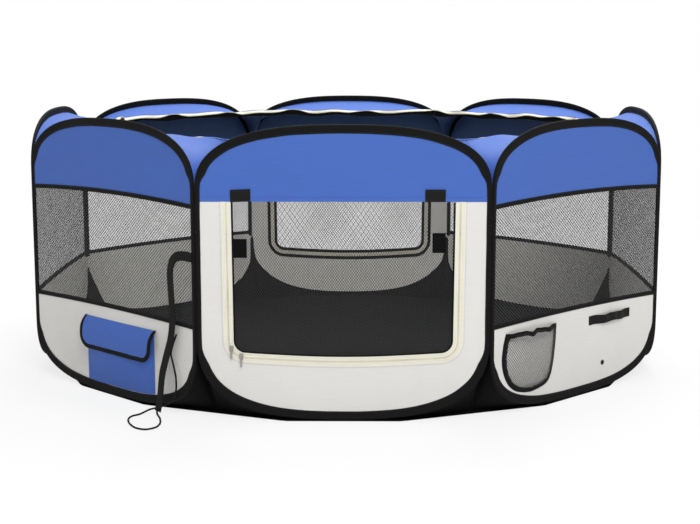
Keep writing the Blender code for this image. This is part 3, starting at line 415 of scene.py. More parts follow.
def make_materials():
    """Every finish of the pen, by a short key."""
    size, colour = sizes(), colours()
    weave, rib = size.weave, size.tape_weave
    return {
        # 600 denier oxford: matt plain weave; real threads are 0.5 mm apart and drawn coarser to show
        "blue": woven("blue_oxford_cloth", colour.blue, weave, 0.00016, 0.68, 0.03),
        "cream": woven("cream_oxford_cloth", colour.cream, weave, 0.00014, 0.72, 0.03, streak=0.025),
        "black": woven(
            "black_oxford_cloth", colour.black, weave, 0.00016, 0.85, 0.0, streak=0.12, shine=0.04,
        ),
        # Polyurethane coat on the cloth's inside: smoother than the weave, dull
        "navy": coated("navy_coated_lining", colour.navy, 0.55),
        "lining": coated("grey_coated_lining", colour.lining, 0.60),
        # Woven polyester binding: fine twill ribs that catch a soft light on the bend
        "tape": woven(
            "black_twill_binding", colour.tape, rib, 0.00022, 0.70, 0.0,
            twill=0.6, streak=0.10, ribs=0.5, shine=0.08,
        ),
        "webbing": woven(
            "black_ribbed_webbing", colour.webbing, rib, 0.00035, 0.68, 0.0,
            streak=0.12, ribs=0.25, shine=0.10,
        ),
        "zip_tape": woven(
            "cream_zip_tape", colour.zip, rib * 0.6, 0.00016, 0.66, 0.05, streak=0.03, ribs=1.4,
        ),
        # Knitted net of polyester yarn: thin, slightly glossy black threads
        "net": yarn("black_net_yarn", colour.net, 0.50),
        "coil": yarn("cream_nylon_coil", linear("#D8D2BC"), 0.38),
        "blue_thread": yarn("blue_sewing_thread", [c * 0.85 for c in colour.blue], 0.55, 0.1),
        "cream_thread": yarn("cream_sewing_thread", linear("#B9B29B"), 0.55, 0.1),
        "grey_thread": yarn("grey_sewing_thread", linear("#8E8C84"), 0.60, 0.1),
        "black_thread": yarn("black_sewing_thread", linear("#1A1A1B"), 0.45, 0.1),
        # Zinc die casting with nickel plate; spring steel wire with a drawn finish
        "zinc": metal("nickel_plated_zinc", colour.zinc, 0.30, 2200.0),
        "steel": metal("drawn_spring_steel", colour.steel, 0.38, 3000.0),
        "eyelet": metal("black_nickel_eyelet", colour.eyelet, 0.35, 2000.0),
        "felt": hook_and_loop(),
    }


FINISH = {}


def finish(key):
    if not FINISH:
        FINISH.update(make_materials())
    return FINISH[key]


# Places in the pen


def panel_matrix(name):
    """The panel's frame: its middle on the floor, u along X, inward along Y."""
    turned = Matrix.Rotation(PANELS.index(name) * TURN, 4, "Z")
    return turned @ Matrix.Translation((0.0, -APOTHEM, 0.0))


def inward_of(name):
    """The panel's inward direction in the pen's frame."""
    return panel_matrix(name).to_3x3() @ Vector((0.0, 1.0, 0.0))


def in_panel(name, u, v, z):
    return panel_matrix(name) @ Vector((u, v, z))


def smoothstep(share):
    share = min(1.0, max(0.0, share))
    return share * share * (3 - 2 * share)


def wander(x, y, seed):
    """A smooth wave from about -1 to 1 that is the same on every run."""
    return noise.noise(Vector((x, y, 7.3 * seed + 0.5)))


def bottom_shape(name):
    if name in DOOR_PANELS:
        return BOTTOM_ROUND_DOOR, BOTTOM_POWER_DOOR
    return BOTTOM_ROUND_SIDE, BOTTOM_POWER_SIDE


def neighbour(name, side):
    """The next panel on one side: 1 for the right, -1 for the left."""
    return PANELS[(PANELS.index(name) + side) % len(PANELS)]


def seam_foot(name, side):
    """Height at which the seam with the neighbour on that side begins, above the floor's raised corner."""
    return HOOP_LOW + max(bottom_shape(name)[0], bottom_shape(neighbour(name, side))[0]) + SEAM_ABOVE_ROUND


def hoop_line(name, steps):
    """(u, z) of the wire, counterclockwise from the middle of the bottom."""
    height, power = bottom_shape(name)
    quarter = [math.pi / 2 * i / steps for i in range(steps + 1)]

    def curve(angle, high, exponent):
        across = HOOP_HALF * max(0.0, math.cos(angle)) ** (2 / exponent)
        return across if angle < math.pi / 2 - 1e-6 else 0.0, high * math.sin(angle) ** (2 / exponent)

    low = []
    for angle in quarter[::-1]:
        across, rise = curve(angle, height, power)
        low.append((across, HOOP_LOW + height - rise))
    high = []
    for angle in quarter:
        across, rise = curve(angle, TOP_ROUND, TOP_POWER)
        high.append((across, HOOP_HIGH - TOP_ROUND + rise))
    straight = []
    count = 14
    for i in range(1, count):
        straight.append((HOOP_HALF, low[-1][1] + (high[0][1] - low[-1][1]) * i / count))
    right = low + straight + high
    return right + [(-u, z) for u, z in right[-2:0:-1]]


def inward_steps(points):
    """For each point of a counterclockwise loop, the unit step inward."""
    found = []
    count = len(points)
    for i in range(count):
        before, after = Vector(points[i - 1]), Vector(points[(i + 1) % count])
        along = (after - before).normalized()
        found.append(Vector((-along.y, along.x)))
    return found


def lip_of(step):
    share = min(1.0, abs(step.y) / LIP_GROWS_BY)
    return LIP_SIDE + smoothstep(share) * (LIP_ARC - LIP_SIDE)


def inner_lip(lip, z):
    """Reach of the binding's lip on the inside, narrower beside the floor."""
    return LIP_INSIDE + (lip - LIP_INSIDE) * smoothstep((z - 0.02) / 0.10)


def cloth_top(u):
    """Height of the cloth's upper edge in the fold of the binding."""
    reach, rise = HOOP_HALF - FABRIC_INSET, TOP_ROUND - FABRIC_INSET
    share = min(1.0, abs(u) / reach)
    return HOOP_HIGH - TOP_ROUND + rise * (1 - share ** TOP_POWER) ** (1 / TOP_POWER)


def cloth_bottom(name, u):
    height, power = bottom_shape(name)
    reach, rise = HOOP_HALF - FABRIC_INSET, height - FABRIC_INSET
    share = min(1.0, abs(u) / reach)
    return HOOP_LOW + height - rise * (1 - share ** power) ** (1 / power)


def cloth_side():
    return HOOP_HALF - FABRIC_INSET


def arched(low, arch, u):
    """Height at u of a seam that is higher in its middle."""
    return low + arch * (1 - (u / cloth_side()) ** 2)


def band_low(name, u):
    if name in DOOR_PANELS:
        return BAND_LOW_DOOR
    return arched(BAND_LOW_SIDE, BAND_ARCH, u)


def skirt_high(u):
    return arched(SKIRT_HIGH, SKIRT_ARCH, u)


def shares(count):
    """Places from 0 to 1, evenly spaced."""
    return [i / count for i in range(count + 1)]


def spread(count, half, crowd=0.35):
    """Places from -half to half, closer together near the ends."""
    places = []
    for i in range(count + 1):
        share = 2 * i / count - 1
        bent = math.sin(math.pi / 2 * share)
        places.append(half * ((1 - crowd) * share + crowd * bent))
    return places


def slack_at(name, u, z, low, high):
    """How far the cloth strays inward (+) or outward (-) of the panel's plane."""
    size = sizes()
    seed = PANELS.index(name)
    side = cloth_side()
    near_side = smoothstep((side - abs(u)) / 0.07)
    near_ends = smoothstep(min(z - low, high - z) / 0.05)
    hold = near_side * (0.25 + 0.75 * near_ends)
    broad = wander(u * 5.0, z * 6.0, seed)
    narrow = wander(u * 16.0, z * 7.0, seed + 20)
    return size.slack * hold * (1.3 * broad + 0.45 * narrow)


def cloth_rows(name, columns, count=16):
    """Rows of points up a panel's cloth, through (u, low, high) columns and with its slack."""
    rows = []
    for share in shares(count):
        row = []
        for u, low, high in columns:
            z = low + (high - low) * share
            row.append((u, slack_at(name, u, z, low, high), z))
        rows.append(row)
    return rows


def panels(names=PANELS):
    """Each panel's name, frame and body."""
    for name in names:
        yield name, panel_matrix(name), name + "_panel"


# Meshes


def link(mesh, name, matrix=None):
    """A piece at the origin, with its place in its mesh."""
    if matrix is not None:
        mesh.transform(matrix)
    made = bpy.data.objects.new(name, mesh)
    bpy.context.scene.collection.objects.link(made)
    return made


def finished(name, points, faces, uvs, keys, indices=None, smooth_angle=48):
    """A mesh from points and faces, with the cloth's places as its UV map."""
    mesh = bpy.data.meshes.new(name)
    mesh.from_pydata([tuple(p) for p in points], [], faces)
    for key in keys:
        mesh.materials.append(finish(key))
    if indices:
        mesh.polygons.foreach_set("material_index", indices)
    layer = mesh.uv_layers.new(name="cloth")
    flat = [value for loop in mesh.loops for value in uvs[loop.vertex_index]]
    layer.data.foreach_set("uv", flat)
    mesh.shade_smooth()
    mesh.set_sharp_from_angle(angle=math.radians(smooth_angle))
    mesh.update()
    return mesh


def shell(name, rows, thickness, keys, matrix=None, uvs=None, round_trip=False):
    """Cloth of a thickness through rows of points, its front where (along a row) x (up the rows) points."""
    count, wide = len(rows), len(rows[0])
    grid = [[Vector(p) for p in row] for row in rows]
    points, cloth = [], []
    normals = []
    for i in range(count):
        line = []
        for j in range(wide):
            if round_trip:
                along = grid[i][(j + 1) % wide] - grid[i][j - 1]
            else:
                along = grid[i][min(j + 1, wide - 1)] - grid[i][max(j - 1, 0)]
            up = grid[min(i + 1, count - 1)][j] - grid[max(i - 1, 0)][j]
            normal = along.cross(up)
            line.append(normal.normalized() if normal.length > 1e-12 else Vector((0, 0, 1)))
        normals.append(line)
    for side in (0.5, -0.5):
        for i in range(count):
            for j in range(wide):
                points.append(grid[i][j] + normals[i][j] * (side * thickness))
                cloth.append(uvs[i][j] if uvs else (grid[i][j].x, grid[i][j].z))
    total = count * wide
    faces, indices = [], []
    columns = wide if round_trip else wide - 1
    back = 1 if len(keys) > 1 else 0

    def quad(a, b, c, d, index):
        faces.append((a, b, c, d))
        indices.append(index)

    for i in range(count - 1):
        for j in range(columns):
            k = (j + 1) % wide
            a, b, c, d = i * wide + j, i * wide + k, (i + 1) * wide + k, (i + 1) * wide + j
            quad(a, b, c, d, 0)
            quad(d + total, c + total, b + total, a + total, back)
    for j in range(columns):
        k = (j + 1) % wide
        quad(j + total, k + total, k, j, 0)
        top = (count - 1) * wide
        quad(top + j, top + k, top + k + total, top + j + total, 0)
    if not round_trip:
        for i in range(count - 1):
            a, b = i * wide, (i + 1) * wide
            quad(a + total, a, b, b + total, 0)
            c, d = a + wide - 1, b + wide - 1
            quad(c, c + total, d + total, d, 0)
    mesh = finished(name, points, faces, cloth, keys, indices)
    return link(mesh, name, matrix)


def sweep(name, stations, section, keys, matrix=None, closed=False):
    """A tape or tube along stations of (point, side, out); section(i) gives its (side, out) points."""
    rings, lengths, walked = [], [], 0.0
    for i, (at, side, out) in enumerate(stations):
        at = Vector(at)
        if i:
            walked += (at - Vector(stations[i - 1][0])).length
        lengths.append(walked)
        rings.append([at + Vector(side) * s + Vector(out) * o for s, o in section(i)])
    sides = len(rings[0])
    around = [0.0]
    for a, b in zip(rings[0], rings[0][1:]):
        around.append(around[-1] + (b - a).length)
    points = [p for ring in rings for p in ring]
    uvs = [(length, far) for length in lengths for far in around]
    faces = []
    for i in range(len(rings) if closed else len(rings) - 1):
        k = (i + 1) % len(rings)
        for j in range(sides):
            n = (j + 1) % sides
            faces.append((i * sides + j, i * sides + n, k * sides + n, k * sides + j))
    if not closed:
        faces.append(tuple(range(sides))[::-1])
        faces.append(tuple((len(rings) - 1) * sides + j for j in range(sides)))
    mesh = finished(name, points, faces, uvs, keys, smooth_angle=60)
    outward(mesh)
    return link(mesh, name, matrix)


def outward(mesh):
    """Turns a closed mesh whose volume comes out negative."""
    volume = 0.0
    for face in mesh.polygons:
        a = mesh.vertices[face.vertices[0]].co
        for i in range(1, len(face.vertices) - 1):
            b, c = mesh.vertices[face.vertices[i]].co, mesh.vertices[face.vertices[i + 1]].co
            volume += a.dot(b.cross(c))
    if volume < 0:
        mesh.flip_normals()
    mesh.update()


def heading(points, i):
    """The unit direction of an open line at one of its points."""
    before, after = points[max(0, i - 1)], points[min(len(points) - 1, i + 1)]
    return (Vector(after) - Vector(before)).normalized()


def toward(path, i, middle):
    """The unit step across a line at one of its points, to the side where the middle lies."""
    along = heading(path, i)
    way = Vector((-along.z, 0.0, along.x))
    return -way if way.dot(middle - path[i]) < 0 else way


def oval(across, deep, count=8):
    """Points round an oval section."""
    turns = [math.tau * k / count for k in range(count)]
    return [(across * math.cos(turn), deep * math.sin(turn)) for turn in turns]


def along_line(points, step):
    """Points a step apart along a polyline."""
    knots = [Vector(p) for p in points]
    total = sum((b - a).length for a, b in zip(knots, knots[1:]))
    count = max(1, round(total / step))
    found, walked, wanted = [knots[0]], 0.0, total / count
    for a, b in zip(knots, knots[1:]):
        stretch = (b - a).length
        while stretch > 0 and walked + stretch >= wanted - 1e-12 and len(found) < count:
            found.append(a.lerp(b, (wanted - walked) / stretch))
            wanted += total / count
        walked += stretch
    return found + [knots[-1]]


def smooth_route(points, step):
    """Points about a step apart on a smooth curve through the given ones."""
    knots = [Vector(point) for point in points]
    knots = [2 * knots[0] - knots[1], *knots, 2 * knots[-1] - knots[-2]]
    fine = []
    for a, b, c, d in zip(knots, knots[1:], knots[2:], knots[3:]):
        for i in range(24):
            t = i / 24
            bend = (2 * a - 5 * b + 4 * c - d) * t * t + (3 * b - a - 3 * c + d) * t ** 3
            fine.append(0.5 * (2 * b + (c - a) * t + bend))
    fine.append(knots[-2])
    return along_line(fine, step)


def route_length(points):
    return sum((b - a).length for a, b in zip(points, points[1:]))


# Geometry Nodes


def new_tree(name, numbers, switches=()):
    """An empty modifier tree with inputs for a mesh, numbers, switches and a finish, and a mesh output."""
    tree = bpy.data.node_groups.new(name, "GeometryNodeTree")
    face = tree.interface
    face.new_socket(name="Geometry", in_out="INPUT", socket_type="NodeSocketGeometry")
    for kind, labels in (("Float", numbers), ("Bool", switches), ("Material", ("Finish",))):
        for label in labels:
            face.new_socket(name=label, in_out="INPUT", socket_type="NodeSocket" + kind)
    face.new_socket(name="Geometry", in_out="OUTPUT", socket_type="NodeSocketGeometry")
    return tree, add(tree, "NodeGroupInput").outputs


def close_tree(tree, shape, given):
    """Gives the shape its finish and sends it out of the tree."""
    real = add(tree, "GeometryNodeRealizeInstances", {"Geometry": shape})
    painted = add(tree, "GeometryNodeSetMaterial", {"Geometry": real, "Material": given["Finish"]})
    add(tree, "NodeGroupOutput", {0: painted})
    return tree


@cache
def thread_tree():
    """Threads: every edge line of the input becomes a flat four-sided strand."""
    tree, given = new_tree("threads_on_lines", ("Thread", "Flat"))
    lines = add(tree, "GeometryNodeMeshToCurve", {"Mesh": given["Geometry"]})
    weight = add(tree, "GeometryNodeInputNamedAttribute", {"Name": "weight"}, data_type="FLOAT")
    # Level normals keep every strand's flat side in the net
    level = add(tree, "GeometryNodeSetCurveNormal", {"Curve": lines}, mode="Z_UP")
    ring = add(tree, "GeometryNodeCurvePrimitiveQuadrilateral", {
        "Width": given["Flat"], "Height": given["Thread"],
    }, mode="RECTANGLE")
    strands = add(tree, "GeometryNodeCurveToMesh", {
        "Curve": level, "Profile Curve": ring,
        "Scale": weight.outputs["Attribute"], "Fill Caps": True,
    })
    return close_tree(tree, strands, given)


@cache
def row_tree():
    """Rows: a small body set along every edge line, lengthwise on it, its top along the "out" attribute."""
    tree, given = new_tree("bodies_on_lines", ("Pitch", "Length", "Width", "Height"), ("Square",))
    lines = add(tree, "GeometryNodeMeshToCurve", {"Mesh": given["Geometry"]})
    even = add(tree, "GeometryNodeResampleCurve", {"Curve": lines, "Length": given["Pitch"]}, mode="LENGTH")
    out = add(tree, "GeometryNodeInputNamedAttribute", {"Name": "out"}, data_type="FLOAT_VECTOR")
    along = add(tree, "GeometryNodeInputTangent")
    turn = add(tree, "FunctionNodeAxesToRotation", {
        "Primary Axis": out.outputs["Attribute"], "Secondary Axis": along,
    }, primary_axis="Z", secondary_axis="X")
    size = add(tree, "ShaderNodeCombineXYZ", {
        "X": given["Length"], "Y": given["Width"], "Z": given["Height"],
    })
    bead = add(tree, "GeometryNodeMeshIcoSphere", {"Radius": 0.5, "Subdivisions": 1})
    block = add(tree, "GeometryNodeMeshCube", {"Size": (1.0, 1.0, 1.0)})
    chosen = add(tree, "GeometryNodeSwitch", {
        "Switch": given["Square"], "False": bead, "True": block,
    }, input_type="GEOMETRY")
    set_out = add(tree, "GeometryNodeInstanceOnPoints", {
        "Points": even, "Instance": chosen, "Rotation": turn, "Scale": size,
    })
    return close_tree(tree, set_out, given)


@cache
def hoop_tree():
    """A spring wire hoop: straight sides between rounded ends, each a power curve."""
    tree, given = new_tree("wire_hoop", (
        "Half width", "Bottom", "Top", "Bottom round", "Bottom power", "Top round", "Top power", "Wire",
    ))
    ring = add(tree, "GeometryNodeCurvePrimitiveCircle", {"Resolution": 160, "Radius": 1.0})
    at = add(tree, "ShaderNodeSeparateXYZ", {0: add(tree, "GeometryNodeInputPosition")})
    upper = reckon(tree, "GREATER_THAN", at.outputs["Y"], 0.0)
    power = add(tree, "ShaderNodeMix", {"Factor": upper, "A": given["Bottom power"], "B": given["Top power"]})
    exponent = reckon(tree, "DIVIDE", 2.0, power)
    axes = []
    for axis in "XY":
        bent = reckon(tree, "POWER", reckon(tree, "ABSOLUTE", at.outputs[axis]), exponent)
        axes.append(reckon(tree, "MULTIPLY", bent, reckon(tree, "SIGN", at.outputs[axis])))
    across = reckon(tree, "MULTIPLY", axes[0], given["Half width"])
    high_start = reckon(tree, "SUBTRACT", given["Top"], given["Top round"])
    low_start = reckon(tree, "ADD", given["Bottom"], given["Bottom round"])
    high = reckon(tree, "MULTIPLY_ADD", axes[1], given["Top round"], high_start)
    low = reckon(tree, "MULTIPLY_ADD", axes[1], given["Bottom round"], low_start)
    rise = add(tree, "ShaderNodeMix", {"Factor": upper, "A": low, "B": high})
    place = add(tree, "ShaderNodeCombineXYZ", {"X": across, "Y": 0.0, "Z": rise})
    shaped = add(tree, "GeometryNodeSetPosition", {"Geometry": ring, "Position": place})
    profile = add(tree, "GeometryNodeCurvePrimitiveCircle", {"Resolution": 10, "Radius": given["Wire"]})
    tube = add(tree, "GeometryNodeCurveToMesh", {"Curve": shaped, "Profile Curve": profile})
    return close_tree(tree, tube, given)


def grown(name, source, tree, values, matrix=None):
    """Runs a tree on a mesh and keeps its result as a plain mesh piece."""
    holder = link(source, name + "_lines")
    modifier = holder.modifiers.new(tree.name, "NODES")
    modifier.node_group = tree
    sockets = {s.name: s.identifier for s in tree.interface.items_tree if s.in_out == "INPUT"}
    for label, value in values.items():
        modifier[sockets[label]] = value
    holder.update_tag()
    depsgraph = bpy.context.evaluated_depsgraph_get()
    depsgraph.update()
    mesh = bpy.data.meshes.new_from_object(holder.evaluated_get(depsgraph), depsgraph=depsgraph)
    if not mesh.polygons:
        raise RuntimeError(f"{name}: the tree {tree.name} made nothing")
    holder.modifiers.remove(modifier)
    bpy.data.objects.remove(holder)
    mesh.name = name
    outward(mesh)
    return link(mesh, name, matrix)


def line_mesh(lines, outs=None, weights=None):
    """A mesh of edges along several polylines, with the outward direction or the weight at each point."""
    points, edges, out, weight = [], [], [], []
    for n, line in enumerate(lines):
        start = len(points)
        points += [tuple(p) for p in line]
        edges += [(start + i, start + i + 1) for i in range(len(line) - 1)]
        if outs:
            out += [tuple(o) for o in outs[n]]
        if weights:
            weight += [weights[n]] * len(line)
    mesh = bpy.data.meshes.new("lines")
    mesh.from_pydata(points, edges, [])
    if outs:
        layer = mesh.attributes.new("out", "FLOAT_VECTOR", "POINT")
        layer.data.foreach_set("vector", [value for o in out for value in o])
    if weights:
        mesh.attributes.new("weight", "FLOAT", "POINT").data.foreach_set("value", weight)
    return mesh


def outward_of(lines):
    return [[OUTSIDE] * len(line) for line in lines]


def stitches(name, lines, key, matrix, outs=None):
    """Rows of stitches along lines, standing on the cloth."""
    size = sizes()
    return grown(name, line_mesh(lines, outs or outward_of(lines)), row_tree(), {
        "Pitch": size.stitch_pitch, "Length": size.stitch_length, "Width": size.stitch_width,
        "Height": size.stitch_width * 0.8, "Square": False, "Finish": finish(key),
    }, matrix)


def coil(name, line, width, height, matrix, out=None):
    """A row of a zip's coil, one small block for each turn."""
    size = sizes()
    return grown(name, line_mesh([line], [out] if out else outward_of([line])), row_tree(), {
        "Pitch": size.tooth_pitch, "Length": size.tooth_pitch * 0.62, "Width": width,
        "Height": height, "Square": True, "Finish": finish("coil"),
    }, matrix)


def clipped(polygon, start, way):
    """The stretches of a straight line that lie inside a polygon, as (near, far) along it."""
    hits = []
    count = len(polygon)
    side = Vector((-way.y, way.x))
    for i in range(count):
        a, b = Vector(polygon[i - 1]) - start, Vector(polygon[i]) - start
        da, db = a.dot(side), b.dot(side)
        if (da > 0) != (db > 0):
            hits.append((a + (b - a) * (da / (da - db))).dot(way))
    hits.sort()
    return [(hits[i], hits[i + 1]) for i in range(0, len(hits) - 1, 2) if hits[i + 1] - hits[i] > 0.002]


def net_lines(polygon, pitch, depth_at, thread, heavy, lean, step):
    """Two families of leaning threads inside a (u, z) polygon, one before the other, and their weights."""
    lines, weights = [], []
    middle = Vector((sum(p[0] for p in polygon), sum(p[1] for p in polygon))) / len(polygon)
    reach = max((Vector(p) - middle).length for p in polygon)
    for sign in (1, -1):
        angle = math.radians(lean * sign)
        way = Vector((math.cos(angle), math.sin(angle)))
        side = Vector((-way.y, way.x))
        count = int(reach / pitch) + 1
        for i in range(-count, count + 1):
            stray = 0.06 * noise.noise(Vector((i * 0.73, sign * 3.1, 0.5)))
            weight = (1 + heavy * sign) * (1 + 0.1 * noise.noise(Vector((i * 0.91, sign * 5.7, 9.5))))
            start = middle + side * ((i + stray) * pitch)
            for near, far in clipped(polygon, start, way):
                pieces = max(1, round((far - near) / step))
                line = []
                for k in range(pieces + 1):
                    u, z = start + way * (near + (far - near) * k / pieces)
                    line.append((u, depth_at(u, z) + sign * thread * 0.5, z))
                lines.append(line)
                weights.append(weight)
    return lines, weights


def net(name, polygon, depth_at, matrix, coarse=1.0, heavy=0.0, lean=55.0, deep=1.0, step=0.04):
    """A net; heavy is the share by which threads rising to the right are thicker, and the others thinner."""
    size = sizes()
    flat = size.net_flat * deep
    lines, weights = net_lines(polygon, size.net_pitch * coarse, depth_at, flat, heavy, lean, step)
    return grown(name, line_mesh(lines, weights=weights), thread_tree(), {
        "Thread": size.net_thread * coarse, "Flat": flat, "Finish": finish("net"),
    }, matrix)


def edge_tape(name, path, inward, out, matrix, measures, seed):
    """A tape folded over a cloth's edge: path runs along the edge, inward and out give its sides."""
    stations = list(zip(path, inward, out))
    width, thick, wave = measures

    def section(i):
        lift = wave * wander(i * 0.31, 0.4, seed)
        half = thick / 2
        return [
            (width + lift, half * 0.75), (width * 0.5, half), (0.0, half * 0.95),
            (-0.0012, half * 0.5), (-0.0012, -half * 0.5), (0.0, -half * 0.95),
            (width * 0.5, -half), (width + lift, -half * 0.75),
        ]

    return sweep(name, stations, section, ("tape",), matrix)


def settle(piece, body, slot, *nodes):
    """Rides the piece on its body and lets it stand for CAD nodes, whose parts it hides; the slot is not
    used.
    """
    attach(piece, body)
    if nodes:
        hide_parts(*nodes)
    return piece


# Operators: the camera, and the cords first


class PLAYPEN_OT_camera(bpy.types.Operator):
    """Sets the camera at the photograph's viewing angle"""
    bl_idname = "playpen.camera"
    bl_label = "Camera"

    focal_pixels: FloatProperty(
        name="Focal length", description="In pixels of the photograph's width", default=1401.8,
    )
    pitch: FloatProperty(
        name="Pitch", description="How far the view looks down", default=math.radians(9.035), subtype="ANGLE",
    )
    turn: FloatProperty(
        name="Turn", description="How far the view is turned to the left", default=math.radians(0.456),
        subtype="ANGLE",
    )

    def execute(self, context):
        data = bpy.data.cameras.new("photo_camera")
        data.sensor_width = SENSOR_WIDTH
        data.lens = self.focal_pixels / IMAGE_WIDTH * SENSOR_WIDTH
        data.dof.use_dof = False
        data.clip_end = 40.0
        camera = bpy.data.objects.new("photo_camera", data)
        context.scene.collection.objects.link(camera)
        camera.location = CAMERA_AT
        camera.rotation_euler = (math.radians(90) - self.pitch, 0.0, self.turn)
        context.scene.camera = camera
        return {"FINISHED"}


class PLAYPEN_OT_straps(bpy.types.Operator):
    """Makes the tie strap on the front left seam and the thin cord that loops from its end"""
    bl_idname = "playpen.straps"
    bl_label = "Tie strap and cord"

    def execute(self, context):
        self.strap(panel_matrix("front_left"))
        self.cord()
        return {"FINISHED"}

    def strap(self, matrix):
        """The webbing, sewn into the seam at its upper end."""
        route = smooth_route([(u, -out, z) for u, out, z in STRAP_ROUTE], STRAP_STEP)
        half, thick = STRAP_WIDTH / 2, STRAP_THICK / 2
        stations = []
        for i, at in enumerate(route):
            along = heading(route, i)
            side = Vector((-along.z, 0.0, along.x)).normalized()
            out = side.cross(along).normalized()
            stations.append((at, side, out))

        def section(i):
            cup = STRAP_CUP * math.sin(i * 0.55)
            across = (-half, -half * 0.8, 0.0, half * 0.8, half)
            sides = []
            for face in (thick, -thick):
                sides.append((face * 0.6, face + cup * 0.5, face + cup, face + cup * 0.5, face * 0.6))
            return [*zip(across, sides[0]), *zip(across[::-1], sides[1])]

        strap = sweep("tie_strap_webbing", stations, section, ("webbing",), matrix)
        settle(strap, "front_panel", "black_webbing", "tie_strap")
        line = [matrix @ p for p in route]
        tuple(line[0])
        route_length(line)
        [tuple(p) for p in line]

    def cord(self):
        """The thin cord, twisted of three strands, that loops over the floor and rises beside the webbing."""
        route = smooth_route(CORD_ROUTE, CORD_STEP)
        stations, side = [], Vector((1.0, 0.0, 0.0))
        for i, at in enumerate(route):
            along = heading(route, i)
            side = (side - along * side.dot(along)).normalized()
            stations.append((at, side, side.cross(along)))

        def rope(i):
            found = []
            for k in range(10):
                angle = math.tau * k / 10
                radius = CORD_RADIUS * (1.0 + 0.07 * math.sin(3 * angle + i * 1.1))
                found.append((radius * math.cos(angle), radius * math.sin(angle)))
            return found

        cord = sweep("tie_cord_braid", stations, rope, ("webbing",))
        settle(cord, "front_panel", "black_webbing", "tie_cord")
        tuple(route[0])
        route_length(route)
        [tuple(p) for p in route]


# Operators: hoops, bindings and cloth


